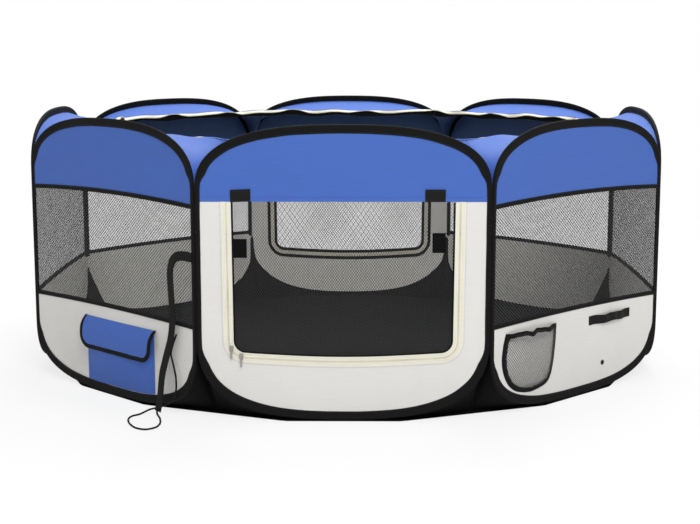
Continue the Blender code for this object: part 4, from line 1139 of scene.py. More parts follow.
class PLAYPEN_OT_hoops(bpy.types.Operator):
    """Makes the spring wire hoops, their folded bindings, the rolled seams and the lining over them"""
    bl_idname = "playpen.hoops"
    bl_label = "Hoops and bindings"

    def execute(self, context):
        for name, matrix, body in panels():
            self.wire(name, matrix, body)
            self.binding(name, matrix, body)
            self.seam(name, matrix, body)
            self.lining(name, matrix, body)
        return {"FINISHED"}

    def wire(self, name, matrix, body):
        height, power = bottom_shape(name)
        wire = grown(name + "_spring_hoop", line_mesh([[(0, 0, 0), (0, 0, 0.01)]]), hoop_tree(), {
            "Half width": HOOP_HALF, "Bottom": HOOP_LOW, "Top": HOOP_HIGH, "Bottom round": height,
            "Bottom power": power, "Top round": TOP_ROUND, "Top power": TOP_POWER,
            "Wire": WIRE_RADIUS, "Finish": finish("steel"),
        }, matrix)
        wire.data.shade_smooth()
        settle(wire, body, "spring_steel", name + "_hoop")

    def binding(self, name, matrix, body):
        """The tape folded round the hoop, and its two rows of stitches."""
        size, number = sizes(), PANELS.index(name)
        line = hoop_line(name, size.hoop_steps)
        steps = inward_steps(line)
        stations, lips = [], []
        for i, ((u, z), step) in enumerate(zip(line, steps)):
            stations.append(((u, 0.0, z), (step.x, 0.0, step.y), OUTSIDE))
            lips.append(lip_of(step) + 0.0005 * wander(u * 30, z * 30, number))

        def section(i):
            lip, slot = lips[i], size.cloth / 2 + 0.0001
            inner = inner_lip(lip, line[i][1])
            ripple = 0.00025 * wander(i * 0.37, 0.2, number + 3)

            def half(reach):
                return [
                    (reach, slot + LIP_WALL + ripple), (reach * 0.72, slot + LIP_WALL + 0.0003 + ripple),
                    (reach * 0.42, 0.0025), (0.0016, 0.0032), (0.0, BINDING_BEAD),
                    (-0.0017, 0.0027), (-0.0026, 0.0014), (-BINDING_BACK, 0.0),
                ]

            other = [(t, -v) for t, v in half(inner)[-2::-1]]
            return half(lip) + other + [(inner, -slot), (0.0045, -0.0011), (0.0045, 0.0011), (lip, slot)]

        tape = sweep(name + "_twill_binding", stations, section, ("tape",), matrix, closed=True)
        settle(tape, body, "black_binding", name + "_binding")
        lines, outs = [], []
        for face in (-1, 1):
            row = []
            for (u, z), step, lip in zip(line, steps, lips):
                inset = (inner_lip(lip, z) if face > 0 else lip) - LIP_STITCH
                row.append((u + inset * step.x, face * (size.cloth / 2 + 0.0013), z + inset * step.y))
            row.append(row[0])
            lines.append(row)
            outs.append([(0.0, face, 0.0)] * len(row))
        sewn = stitches(name + "_binding_stitches", lines, "black_thread", matrix, outs)
        settle(sewn, body, "black_binding")

    def lining(self, name, matrix, body):
        """The skirt's lining, lapped over the inside of the binding; below the seam only over its lip."""
        size, number = sizes(), PANELS.index(name)
        high = BAND_LOW_DOOR - 0.004 if name in DOOR_PANELS else SKIRT_HIGH - 0.007
        foot = HOOP_LOW + bottom_shape(name)[0]
        line = [p for p in hoop_line(name, 60)[:61] if p[1] > LAP_LOW]
        line += [(HOOP_HALF, foot + (high - foot) * i / 40) for i in range(1, 41)]
        for side, label in ((-1, "left"), (1, "right")):
            corner = seam_foot(name, side)
            stations, reaches = [], []
            for i, (u, z) in enumerate(line):
                along = heading(line, i)
                stations.append(((side * u, 0.0, z), (-side * along.y, 0.0, along.x), (0.0, 1.0, 0.0)))
                lip = inner_lip(lip_of(Vector((-along.y, along.x))), z)
                start = 0.0030 - 0.0049 * smoothstep((z - corner - 0.001) / 0.005)
                start += (lip - 0.0040) * smoothstep((0.105 - z) / 0.055)
                reaches.append((start, lip, lip + LAP_REACH + LAP_WAVE * math.sin(z * 300 + number)))

            def lap(i):
                lie, (start, lip, stop) = size.cloth / 2, reaches[i]
                over = [
                    (-0.0019, 0.0031), (0.0, BINDING_BEAD + 0.0003), (0.0016, 0.0036), (lip * 0.42, 0.0030),
                    (lip * 0.72, lie + 0.0017), (lip + 0.0008, lie + 0.0014), (stop, lie + 0.0003),
                ]
                path = []
                for k in range(9):
                    t = stop + (start - stop) * k / 8
                    for (t0, v0), (t1, v1) in zip(over, over[1:]):
                        if t0 - 1e-9 <= t <= t1 + 1e-9:
                            path.append((t, v0 + (v1 - v0) * (t - t0) / (t1 - t0)))
                            break
                return path + [(t, v + LAP_THICK) for t, v in path[::-1]]

            lapped = sweep(f"{name}_seam_lining_{label}", stations, lap, ("lining",), matrix)
            settle(lapped, body, "cream_oxford")

    def seam(self, name, matrix, body):
        """The rolled tape that joins this panel's binding to the next one's, on the line they fold about."""
        low = HOOP_LOW + min(bottom_shape(name)[0], bottom_shape(neighbour(name, 1))[0]) - SEAM_PAST_ROUND
        high = HOOP_HIGH - TOP_ROUND + SEAM_PAST_ROUND
        stations = []
        for i in range(81):
            at = (PANEL_WIDTH / 2, 0.0, low + (high - low) * i / 80)
            stations.append((at, (1.0, 0.0, 0.0), (0.0, 1.0, 0.0)))

        def roll(i):
            radius = SEAM_ROLL + SEAM_ROLL_WAVE * math.sin(i * 1.9)
            return oval(radius, radius)

        settle(sweep(name + "_seam_roll", stations, roll, ("tape",), matrix), body, "black_binding")


def column_area(columns):
    """Area of cloth between (u, low, high) columns."""
    total = 0.0
    for (u0, a0, b0), (u1, a1, b1) in zip(columns, columns[1:]):
        total += (u1 - u0) * ((b0 - a0) + (b1 - a1)) / 2
    return total


def rows_area(rows):
    """Area of the cloth through rows of points."""
    total = 0.0
    for a, b in zip(rows, rows[1:]):
        for j in range(len(a) - 1):
            p, q, r, s = Vector(a[j]), Vector(a[j + 1]), Vector(b[j]), Vector(b[j + 1])
            total += (q - p).cross(r - p).length / 2 + (s - q).cross(r - q).length / 2
    return total


class PLAYPEN_OT_bands(bpy.types.Operator):
    """Makes the blue bands, with their hems and stitching"""
    bl_idname = "playpen.bands"
    bl_label = "Blue bands"

    def execute(self, context):
        size = sizes()
        for name, matrix, body in panels():
            columns = [(u, band_low(name, u), cloth_top(u)) for u in spread(56, cloth_side())]
            rows = cloth_rows(name, columns)
            band = shell(name + "_blue_band", rows, size.cloth, ("blue", "navy"), matrix)
            settle(band, body, "blue_oxford", name + "_band")
            area = column_area(columns)
            if name in DOOR_PANELS:
                hem_rows, reach = [], cloth_side() - HEM_SHORT
                for z in (BAND_LOW_DOOR - 0.0004, BAND_LOW_DOOR + size.hem * 0.5, BAND_LOW_DOOR + size.hem):
                    hem_rows.append([
                        (min(reach, max(-reach, u)), slack_at(name, u, z, low, high) - size.cloth * 0.9, z)
                        for u, low, high in columns
                    ])
                hem = shell(name + "_band_hem", hem_rows, HEM_THICK, ("blue",), matrix)
                settle(hem, body, "blue_oxford")
                lines = [[(u, v - 0.0005, z - 0.0016) for u, v, z in hem_rows[-1]]]
                settle(stitches(name + "_band_stitches", lines, "blue_thread", matrix), body, "blue_oxford")
        return {"FINISHED"}


def door_line(outward_by, high):
    """(u, z) along the door's zip from its left end to its right, moved outward from its middle."""
    reach = DOOR_HALF_LOW - DOOR_CORNER
    points = [(-DOOR_HALF_TOP, high)]
    for i in range(1, 9):
        share = i / 9
        z = high + (DOOR_LOW + DOOR_CORNER - high) * share
        points.append((-DOOR_HALF_TOP + (DOOR_HALF_TOP - DOOR_HALF_LOW) * share, z))
    for i in range(15):
        angle = math.pi + math.pi / 2 * i / 14
        u, z = DOOR_CORNER * math.cos(angle), DOOR_CORNER * (1 + math.sin(angle))
        points.append((-reach + u, DOOR_LOW + z))
    for i in range(1, 11):
        share = i / 10
        points.append((-reach * (1 - share), DOOR_LOW - DOOR_SAG * math.sin(math.pi / 2 * share)))
    points += [(-u, z) for u, z in points[-2::-1]]
    moved = []
    for i, (u, z) in enumerate(points):
        along = heading(points, i)
        moved.append((u + along.y * outward_by, z - along.x * outward_by))
    moved[0] = (moved[0][0], high)
    moved[-1] = (moved[-1][0], high)
    return moved


def door_sides(line):
    """Unit steps toward the door's middle along its zip line."""
    found = []
    for i in range(len(line)):
        along = heading(line, i)
        found.append((-along.y, 0.0, along.x))
    return found


class PLAYPEN_OT_skirts(bpy.types.Operator):
    """Makes the cream skirts of the panels"""
    bl_idname = "playpen.skirts"
    bl_label = "Cream skirts"

    def execute(self, context):
        size = sizes()
        for name, matrix, body in panels():
            if name in DOOR_PANELS:
                self.round_door(name, matrix, body, size)
                continue
            columns = [(u, cloth_bottom(name, u), skirt_high(u)) for u in spread(56, cloth_side(), 0.6)]
            rows = cloth_rows(name, columns)
            skirt = shell(name + "_cream_skirt", rows, size.cloth, ("cream", "lining"), matrix)
            settle(skirt, body, "cream_oxford", name + "_skirt")
            area = column_area(columns)
        return {"FINISHED"}

    def round_door(self, name, matrix, body, size):
        high = BAND_LOW_DOOR + 0.004
        inner = along_line([(u, 0.0, z) for u, z in door_line(ZIP_TAPE - 0.0006, high)], 0.007)
        count = len(inner)
        side = cloth_side()
        outline = [(-side, high)]
        foot = HOOP_LOW + BOTTOM_ROUND_DOOR
        outline += [(-side, high + (foot - high) * i / 12) for i in range(1, 13)]
        for i in range(1, 121):
            u = -side * math.cos(math.pi * i / 120)
            outline.append((u, cloth_bottom(name, u)))
        outline += [(side, foot + (high - foot) * i / 12) for i in range(1, 13)]
        outline = [Vector((u, 0.0, z)) for u, z in outline]
        outer = along_line(outline, route_length(outline) / (count - 1))
        rows = []
        for share in shares(9):
            row = []
            for a, b in zip(outer, inner):
                at = Vector(a).lerp(Vector(b), share)
                hold = math.sin(math.pi * share) ** 0.8 * smoothstep((high - at.z) / 0.06)
                stray = wander(at.x * 6, at.z * 6, PANELS.index(name) + 5)
                stray += 0.4 * wander(at.x * 15, at.z * 15, 9)
                row.append((at.x, size.slack * 0.9 * hold * stray, at.z))
            rows.append(row)
        skirt = shell(name + "_cream_skirt", rows, size.cloth, ("cream", "lining"), matrix)
        settle(skirt, body, "cream_oxford", name + "_skirt")
        rows_area(rows)
        lines = door_rows(BAND_LOW_DOOR - 0.002, (ZIP_TAPE + 0.0035, -size.cloth / 2 - 0.0004))
        settle(stitches(name + "_skirt_stitches", lines, "grey_thread", matrix), body, "cream_oxford")


# Operators: nets, doors and zips


class PLAYPEN_OT_windows(bpy.types.Operator):
    """Makes the window nets and the black tapes along their tops and bottoms"""
    bl_idname = "playpen.windows"
    bl_label = "Windows"
    # Coarseness, heaviness, lean in degrees and depth of the nets. The real threads, 2.5 mm apart, are too
    # fine to show: the near windows are drawn coarser and pulled one way, as sewn in, and the others finer.
    DRAWN = {
        "front_left": (1.30, 0.4, 41.0), "front_right": (1.30, -0.4, 41.0),
        "left": (0.50, 0.0, 55.0, 1.4), "right": (0.50, 0.0, 55.0, 1.4),
    }
    FINE = (0.50, 0.0, 55.0)

    def execute(self, context):
        size = sizes()
        for name, matrix, body in panels(name for name in PANELS if name not in DOOR_PANELS):
            side = cloth_side()
            across = [side * (2 * i / 40 - 1) for i in range(41)]
            polygon = [(u, skirt_high(u) - NET_TUCK) for u in across]
            polygon += [(u, band_low(name, u) + NET_TUCK) for u in across[::-1]]
            seed = PANELS.index(name)

            def depth_at(u, z):
                foot, head = WINDOW_HELD
                hold = smoothstep((side - abs(u)) / 0.05) * smoothstep(min(z - foot, head - z) / 0.05)
                return 0.0001 * hold * wander(u * 5, z * 5, seed)

            mesh = net(name + "_window_net", polygon, depth_at, matrix, *self.DRAWN.get(name, self.FINE))
            settle(mesh, body, "black_net", name + "_window")
            for label, sign in (("top", -1), ("bottom", 1)):

                def height(u, share):
                    base = band_low(name, u) + TAPE_LAP if sign < 0 else skirt_high(u) - TAPE_LAP
                    return base + sign * share * (WINDOW_TAPE + 0.0004 * wander(u * 25, 0.3, seed + 11))

                for face, out in (("outer", -1), ("inner", 1)):
                    rows = []
                    for share in (0.0, 0.5, 1.0)[::sign]:
                        rows.append([(u, out * (size.cloth / 2 + 0.0006), height(u, share)) for u in across])
                    tape = shell(f"{name}_window_tape_{label}_{face}", rows, TAPE_THICK, ("tape",), matrix)
                    settle(tape, body, "black_binding")
                lines = []
                for share in (0.18, 0.82):
                    lines.append([(u, -size.cloth / 2 - 0.0012, height(u, share)) for u in across])
                sewn = stitches(f"{name}_window_stitches_{label}", lines, "black_thread", matrix)
                settle(sewn, body, "black_binding")
        return {"FINISHED"}


def door_rows(high, *places):
    """Rows along a door's zip line, each moved away from the door and set at its own v."""
    return [[(u, v, z) for u, z in door_line(outward_by, high)] for outward_by, v in places]


def door_strip(name, high, places, thick, key, matrix):
    """A strip sewn along a door's zip line."""
    strip = shell(name, door_rows(high, *places), thick, (key,), matrix)
    outward(strip.data)
    return strip


class PLAYPEN_OT_doors(bpy.types.Operator):
    """Makes the net doors, the zips round them and the patches that hold them rolled up"""
    bl_idname = "playpen.doors"
    bl_label = "Doors and zips"

    def execute(self, context):
        for name, matrix, body in panels(DOOR_PANELS):
            self.leaf(name, matrix, name + "_door")
            self.zip_sides(name, matrix, body)
        for node in SLIDERS + PULLS:
            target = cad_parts[node]
            target.data.materials.clear()
            target.data.materials.append(finish("zinc"))
        return {"FINISHED"}

    def leaf(self, name, matrix, body):
        high = BAND_LOW_DOOR - LEAF_GAP
        polygon = door_line(-ZIP_TAPE - 0.002, BAND_LOW_DOOR - DOOR_NET_GAP)
        seed = PANELS.index(name) + 31

        def depth_at(u, z):
            half, foot, head = DOOR_HELD
            hold = smoothstep((half - abs(u)) / 0.06) * smoothstep(min(z - foot, head - z) / 0.06)
            return 0.0002 * hold * wander(u * 4, z * 4, seed)

        leaf = net(name + "_door_mesh", polygon, depth_at, matrix)
        settle(leaf, body, "black_net", name + "_door_net")
        # Black binding on the net's edge, outside and inside
        for face, v, lap in (("outer", -DOOR_BINDING_V, OUTER_LAP), ("inner", DOOR_BINDING_V, INNER_LAP)):
            far = (-ZIP_TAPE + lap, -ZIP_TAPE - DOOR_BINDING / 2, -ZIP_TAPE - DOOR_BINDING)
            places = [(outward_by, v) for outward_by in far]
            tape = door_strip(f"{name}_door_binding_{face}", high, places, BINDING_THICK, "tape", matrix)
            settle(tape, body, "black_binding")
        # The door's own half of the zip tape, with a narrow white edge
        places = [(far, -0.0006) for far in (-0.0004, -ZIP_TAPE * 0.4, -ZIP_TAPE * 0.7, -ZIP_TAPE)]
        tape = door_strip(name + "_door_zip_tape", high, places, TAPE_THICK, "zip_tape", matrix)
        settle(tape, body, "cream_zip")
        piping = door_line(-ZIP_TAPE + 0.0002, high)
        stations = [((u, PIPING_V, z), side, OUTSIDE) for (u, z), side in zip(piping, door_sides(piping))]

        def piping_at(i):
            # Thinner at the fold, where the door lies back on the band
            return oval(PIPING_WIDE, PIPING_THICK * (0.35 + 0.65 * smoothstep((high - piping[i][1]) / 0.03)))

        bead = sweep(name + "_door_piping", stations, piping_at, ("zip_tape",), matrix)
        settle(bead, body, "cream_zip")
        line = door_rows(high, (-COIL_OFF, COIL_V))[0]
        settle(coil(name + "_door_coil", line, COIL_WIDTH, COIL_HEIGHT, matrix), body, "cream_zip")
        lines = door_rows(high, DOOR_STITCHES)
        settle(stitches(name + "_door_stitches", lines, "cream_thread", matrix), body, "cream_zip")
        # Hook and loop patches sewn to the net
        for side, u, low, top in PATCHES:
            rows = []
            for i in range(4):
                v, z = -PATCH_OUT - PATCH_BULGE * math.sin(math.pi * i / 3), low + (top - low) * i / 3
                rows.append([(u + PATCH_WIDTH * (share - 0.5), v, z) for share in shares(4)])
            patch = shell(f"{name}_door_patch_{side}", rows, PATCH_THICK, ("felt",), matrix)
            settle(patch, body, "black_webbing")

    def zip_sides(self, name, matrix, body):
        high = BAND_LOW_DOOR - ZIP_GAP
        places = ((ZIP_TAPE + 0.0012, -0.0010), *ZIP_SEWN)
        tape = door_strip(name + "_zip_woven_tape", high, places, TAPE_THICK, "zip_tape", matrix)
        settle(tape, body, "cream_zip", name + "_zip_tape")
        # The seam's raw edges are bound in black on the inside
        places = [(ZIP_TAPE + far, 0.0013) for far in (-INNER_LAP, 0.0010, 0.0055)]
        bound = door_strip(name + "_zip_inner_binding", high, places, BINDING_THICK, "tape", matrix)
        settle(bound, body, "black_binding")
        line = door_rows(high - ROW_GAP, (COIL_OFF, COIL_V))[0]
        # Half a turn lower, so that this side's turns stand between the door's
        line[0] = (line[0][0], line[0][1], line[0][2] - sizes().tooth_pitch / 2)
        settle(coil(name + "_zip_coil", line, COIL_WIDTH, COIL_HEIGHT, matrix), body, "cream_zip")
        lines = door_rows(high - ROW_GAP, *ZIP_STITCHES)
        settle(stitches(name + "_zip_stitches", lines, "cream_thread", matrix), body, "cream_zip")


class PLAYPEN_OT_tabs(bpy.types.Operator):
    """Makes the black tabs under the bands and the eyelet in the front right skirt"""
    bl_idname = "playpen.tabs"
    bl_label = "Tabs and eyelet"

    def execute(self, context):
        for name, matrix, body in panels(DOOR_PANELS):
            for side, u, tilt in TABS:
                rows = []
                for i in range(6):
                    z = BAND_LOW_DOOR - 0.0006 + TAB_LENGTH * i / 5
                    lift = 0.0014 + 0.0008 * i / 5
                    across = [share - 0.5 for share in shares(6)]
                    rows.append([(u + TAB_WIDTH * share, -lift, z + tilt * share) for share in across])
                tab = shell(f"{name}_band_tab_{side}", rows, TAB_THICK, ("webbing",), matrix)
                lines = []
                for above, lift in TAB_STITCHES:
                    z = BAND_LOW_DOOR + above
                    lines.append([(u + (TAB_WIDTH - 0.004) * (share - 0.5), -lift, z) for share in shares(4)])
                sewn = stitches(f"{name}_tab_stitches_{side}", lines, "black_thread", matrix)
                for piece in (tab, sewn):
                    settle(piece, body, "black_webbing")
                    self.press(piece, name)
        self.eyelet("front_right")
        return {"FINISHED"}

    def press(self, piece, name):
        """Gives the piece a mesh of its own; nothing is pressed or moved."""
        anchor = tuple(in_panel(name, 0.0, -0.0008, BAND_LOW_DOOR))
        tuple(inward_of(name))
        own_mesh(piece)

    def eyelet(self, name):
        matrix, body = panel_matrix(name), name + "_panel"
        stray = slack_at(name, EYELET_U, EYELET_Z, cloth_bottom(name, EYELET_U), skirt_high(EYELET_U))

        def round_at(radius, v, count):
            return [(EYELET_U + u, stray - v, EYELET_Z + z) for u, z in oval(radius, radius, count)]

        stations = []
        for at, (side, rise) in zip(round_at(EYELET_RADIUS, 0.0010, 28), oval(1.0, 1.0, 28)):
            stations.append((at, (side, 0.0, rise), OUTSIDE))

        def rim(i):
            return oval(*EYELET_RIM)

        ring = sweep("skirt_eyelet", stations, rim, ("eyelet",), matrix, closed=True)
        settle(ring, body, "zip_metal")
        # Painted shade: the skirt is not cut, and a near-black disc in the ring stands for the dark seen
        # through the hole
        rows = [round_at(radius, 0.0009, 16) for radius in (0.0003, EYELET_HOLE)]
        dark = shell("skirt_eyelet_hole_painted_shade", rows, 0.0004, ("felt",), matrix, round_trip=True)
        outward(dark.data)
        settle(dark, body, "black_webbing")


# Operators: floor and roof


def floor_outline(u, edge):
    """(u, v) of the floor's outline, straight under the panel and cut across the corner."""
    if abs(u) <= FLOOR_STRAIGHT:
        return u, edge
    side = math.copysign(1.0, u)
    start = Vector((side * FLOOR_STRAIGHT, edge))
    corner = Vector((side * PANEL_WIDTH / 2, 0.0))
    inward = Vector((-side * math.sin(TURN / 2), math.cos(TURN / 2)))
    middle = corner + inward * (start - corner).dot(inward)
    share = (abs(u) - FLOOR_STRAIGHT) / (PANEL_WIDTH / 2 - FLOOR_STRAIGHT)
    at = start.lerp(middle, share)
    return at.x, at.y


def fold_joint(name):
    return "fold_front_left" if name == "front" else "fold_" + name


def flatten(piece, name, keep, stand_off):
    """Gives a panel's share of the floor or roof a mesh of its own; it is not crumpled or moved."""
    anchor = tuple(in_panel(name, 0.0, stand_off, 0.3))
    fold_joint(name)
    tuple(inward_of(name))
    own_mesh(piece)


class PLAYPEN_OT_floor(bpy.types.Operator):
    """Makes the black floor, in one wedge for each panel, and the corners that rise between the hoops"""
    bl_idname = "playpen.floor"
    bl_label = "Floor"

    def execute(self, context):
        for name, matrix, body in panels():
            across = spread(40, PANEL_WIDTH / 2, 0.2)
            rows = []
            for share in shares(28):
                row = []
                for u in across:
                    at = Vector(floor_outline(u, -FLOOR_EDGE_OUT))
                    at = at.lerp(Vector((0.0, APOTHEM)), share * 0.9985)
                    world = matrix @ Vector((at.x, at.y, 0.0))
                    ripple = wander(world.x * 4, world.y * 4, 60)
                    ripple += 0.5 * wander(world.x * 11, world.y * 11, 61)
                    hold = smoothstep(share / 0.12) * smoothstep((1 - share) / 0.1 + 0.3)
                    rise = FLOOR_LIE + FLOOR_RIPPLE * max(0.0, ripple) * hold
                    row.append((at.x, at.y, rise))
                rows.append(row)
            uvs = [[tuple((matrix @ Vector(p)).xy) for p in row] for row in rows]
            wedge = shell(name + "_floor_wedge", rows, FLOOR_THICK, ("black",), matrix, uvs)
            settle(wedge, body, "black_oxford", "floor_sheet")
            flatten(wedge, name, *FLOOR_FLAT)
            self.corner(name, matrix, body)
        return {"FINISHED"}

    def corner(self, name, matrix, body):
        """The strip from the hoop's lower half to the floor, up to the seams at both ends."""
        quarter = hoop_line(name, 20)[:21]
        whole = [(-u, z) for u, z in quarter[:0:-1]] + quarter
        rows_low, rows_high = [], []
        for u, z in whole:
            u_foot, v_foot = floor_outline(u, SHEET_TO_PANEL + FLOOR_HEM)
            share = max(0.0, abs(u) - FLOOR_STRAIGHT) / (PANEL_WIDTH / 2 - FLOOR_STRAIGHT)
            rows_low.append(Vector((u_foot, v_foot, FLOOR_REST + 0.0006 * share)))
            rows_high.append(Vector((u, SEAM_DEPTH, max(z, FLOOR_REST))))
        for side in (1, -1):
            edge = PANEL_WIDTH / 2
            high = Vector((side * (edge - CORNER_V * math.tan(TURN / 2)), CORNER_V, seam_foot(name, side)))
            u_foot, v_foot = floor_outline(side * edge, SHEET_TO_PANEL + FLOOR_HEM)
            low = Vector((u_foot, v_foot, FLOOR_REST + 0.0006))
            # Neighbours overlap by a hair in the seam
            high.x += side * 0.0008
            low.x += side * 0.0008
            at = len(rows_low) if side > 0 else 0
            rows_low.insert(at, low)
            rows_high.insert(at, high)
        rows = []
        for share in shares(6):
            row = []
            for a, b in zip(rows_low, rows_high):
                at = a.lerp(b, share)
                long = (b - a).length
                loose = math.sin(math.pi * share) * smoothstep((PANEL_WIDTH / 2 - 0.004 - abs(b.x)) / 0.05)
                at.y += loose * (0.05 * long + 0.004 * wander(at.x * 9, at.z * 9, 44) * min(1.0, long / 0.05))
                row.append(at)
            rows.append(row)
        uvs = [[(p.x, p.y + p.z) for p in row] for row in rows]
        web = shell(name + "_floor_corner", rows, sizes().cloth, ("black",), matrix, uvs)
        settle(web, body, "black_oxford", "floor_corners")
        flatten(web, name, *CORNER_FLAT)


class PLAYPEN_OT_roof(bpy.types.Operator):
    """Makes the sloping roof collar and the waving half zip round its opening"""
    bl_idname = "playpen.roof"
    bl_label = "Roof collar"

    def execute(self, context):
        for name, matrix, body in panels():
            edge = self.sector(name, matrix, body)
            self.edging(name, matrix, body, edge)
        return {"FINISHED"}

    def wave(self, angle):
        """Height of the opening's edge round the pen, the same from both sides of a seam."""
        slow, quick = math.sin(angle * 11 + 0.7), math.sin(angle * 19 + 2.1)
        return 0.35 * slow + 0.45 * quick + 0.45 * math.sin(angle * 31 + 1.0)

    def sector(self, name, matrix, body):
        """The collar's part over one panel; gives its inner edge."""
        size = sizes()
        line = hoop_line(name, 24)
        start_z = HOOP_HIGH - TOP_ROUND
        start = next(i for i, (u, z) in enumerate(line) if abs(z - start_z) < 1e-6 and u > 0)
        quarter = line[start:start + 25]
        whole = [(-u, z) for u, z in quarter] + [(u, z) for u, z in quarter[-2::-1]]
        edge_half = (APOTHEM - COLLAR_WIDTH) * math.tan(TURN / 2)
        outer, inner = [], []
        for u, z in whole:
            rise = (z - start_z) * (TOP_ROUND - COLLAR_SEAM_DROP) / TOP_ROUND
            outer.append(Vector((u, SEAM_DEPTH, start_z + rise)))
            inner.append(Vector((u / HOOP_HALF * edge_half, COLLAR_WIDTH, COLLAR_LOW)))
        for side in (-1, 1):
            at = 0 if side < 0 else len(outer)
            corner_u = side * (PANEL_WIDTH / 2 - CORNER_V * math.tan(TURN / 2))
            outer.insert(at, Vector((corner_u, CORNER_V, start_z)))
            inner.insert(at, Vector((side * edge_half, COLLAR_WIDTH, COLLAR_LOW)))
        rows = []
        for share in shares(9):
            row = []
            for a, b in zip(outer, inner):
                at = a.lerp(b, share)
                world = matrix @ at
                angle = math.atan2(world.y, world.x)
                at.z += size.roof_wave * self.wave(angle) * smoothstep(share) * 0.55
                at.z -= COLLAR_SAG * math.sin(math.pi * share) * smoothstep((b - a).length / 0.12)
                at.z += COLLAR_CREASE * math.sin(math.pi * share) * wander(world.x * 9, world.y * 9, 71)
                row.append(at)
            rows.append(row)
        uvs = [[(p.x, p.y + 0.3) for p in row] for row in rows]
        collar = shell(name + "_roof_collar", rows, size.cloth, ("blue", "navy"), matrix, uvs)
        settle(collar, body, "blue_oxford", "roof_collar")
        flatten(collar, name, *COLLAR_FLAT)
        rows_area(rows)
        return rows[-1]

    def edging(self, name, matrix, body, edge):
        """Black facing that hangs under the edge, then the zip tape and its coil, twisting as they wave."""
        outs, facing, tape, teeth = [], [], [], []
        for at in edge:
            world = matrix @ at
            angle = math.atan2(world.y, world.x)
            long, short = math.sin(angle * 19 + 1.2), math.sin(angle * 37)
            lean = math.radians(ZIP_LEAN + ZIP_LEAN_LONG * long + ZIP_LEAN_SHORT * short)
            way = Vector((0.0, math.cos(lean), -math.sin(lean)))
            outs.append(Vector((0.0, math.sin(lean), math.cos(lean))))
            drop = FACING_DROP + FACING_WAVE * math.sin(angle * 23)
            hanging = ((-0.0050, -0.0012), (-0.0017, -0.0017), (-0.0015, -drop))
            facing.append([at + Vector((0, v, z)) for v, z in hanging])
            tape.append([at + way * reach for reach in ROOF_TAPE])
            teeth.append(at + way * ROOF_TEETH)
        for label, strips, thick, key, slot, nodes in (
            ("facing", facing, TAPE_THICK, "tape", "black_binding", ()),
            ("zip_tape", tape, 0.0010, "zip_tape", "cream_zip", ("roof_zip",)),
        ):
            strip_rows = [[strip[k] for strip in strips] for k in range(3)]
            uvs = [[(p.x, p.y) for p in row] for row in strip_rows]
            piece = shell(f"{name}_roof_{label}", strip_rows, thick, (key,), matrix, uvs)
            settle(piece, body, slot, *nodes)
            flatten(piece, name, *COLLAR_FLAT)
        beads = coil(name + "_roof_coil", teeth, *ROOF_COIL, matrix, outs)
        settle(beads, body, "cream_zip")
        flatten(beads, name, *COLLAR_FLAT)


# Operators: pockets and the elastic strap


def lip_rise(name, u):
    """Height of the binding's lip in the lower half of a panel."""
    line = hoop_line(name, 24)[:25]
    lip = []
    steps = inward_steps(hoop_line(name, 24))[:25]
    for (at, z), step in zip(line, steps):
        reach = lip_of(step)
        lip.append((at + reach * step.x, z + reach * step.y))
    for (u0, z0), (u1, z1) in zip(lip, lip[1:]):
        if u0 <= abs(u) <= u1:
            return z0 + (z1 - z0) * (abs(u) - u0) / (u1 - u0)
    return lip[-1][1]


def bag_depth(fall, share, top_depth, depth):
    """How far a bag's front stands off its panel."""
    bulge = top_depth * (1 - fall) + depth * max(0.0, math.sin(math.pi * min(1.0, max(0.0, fall)))) ** 0.8
    return 0.0013 + bulge * (1 - min(1.0, abs(share)) ** 3)


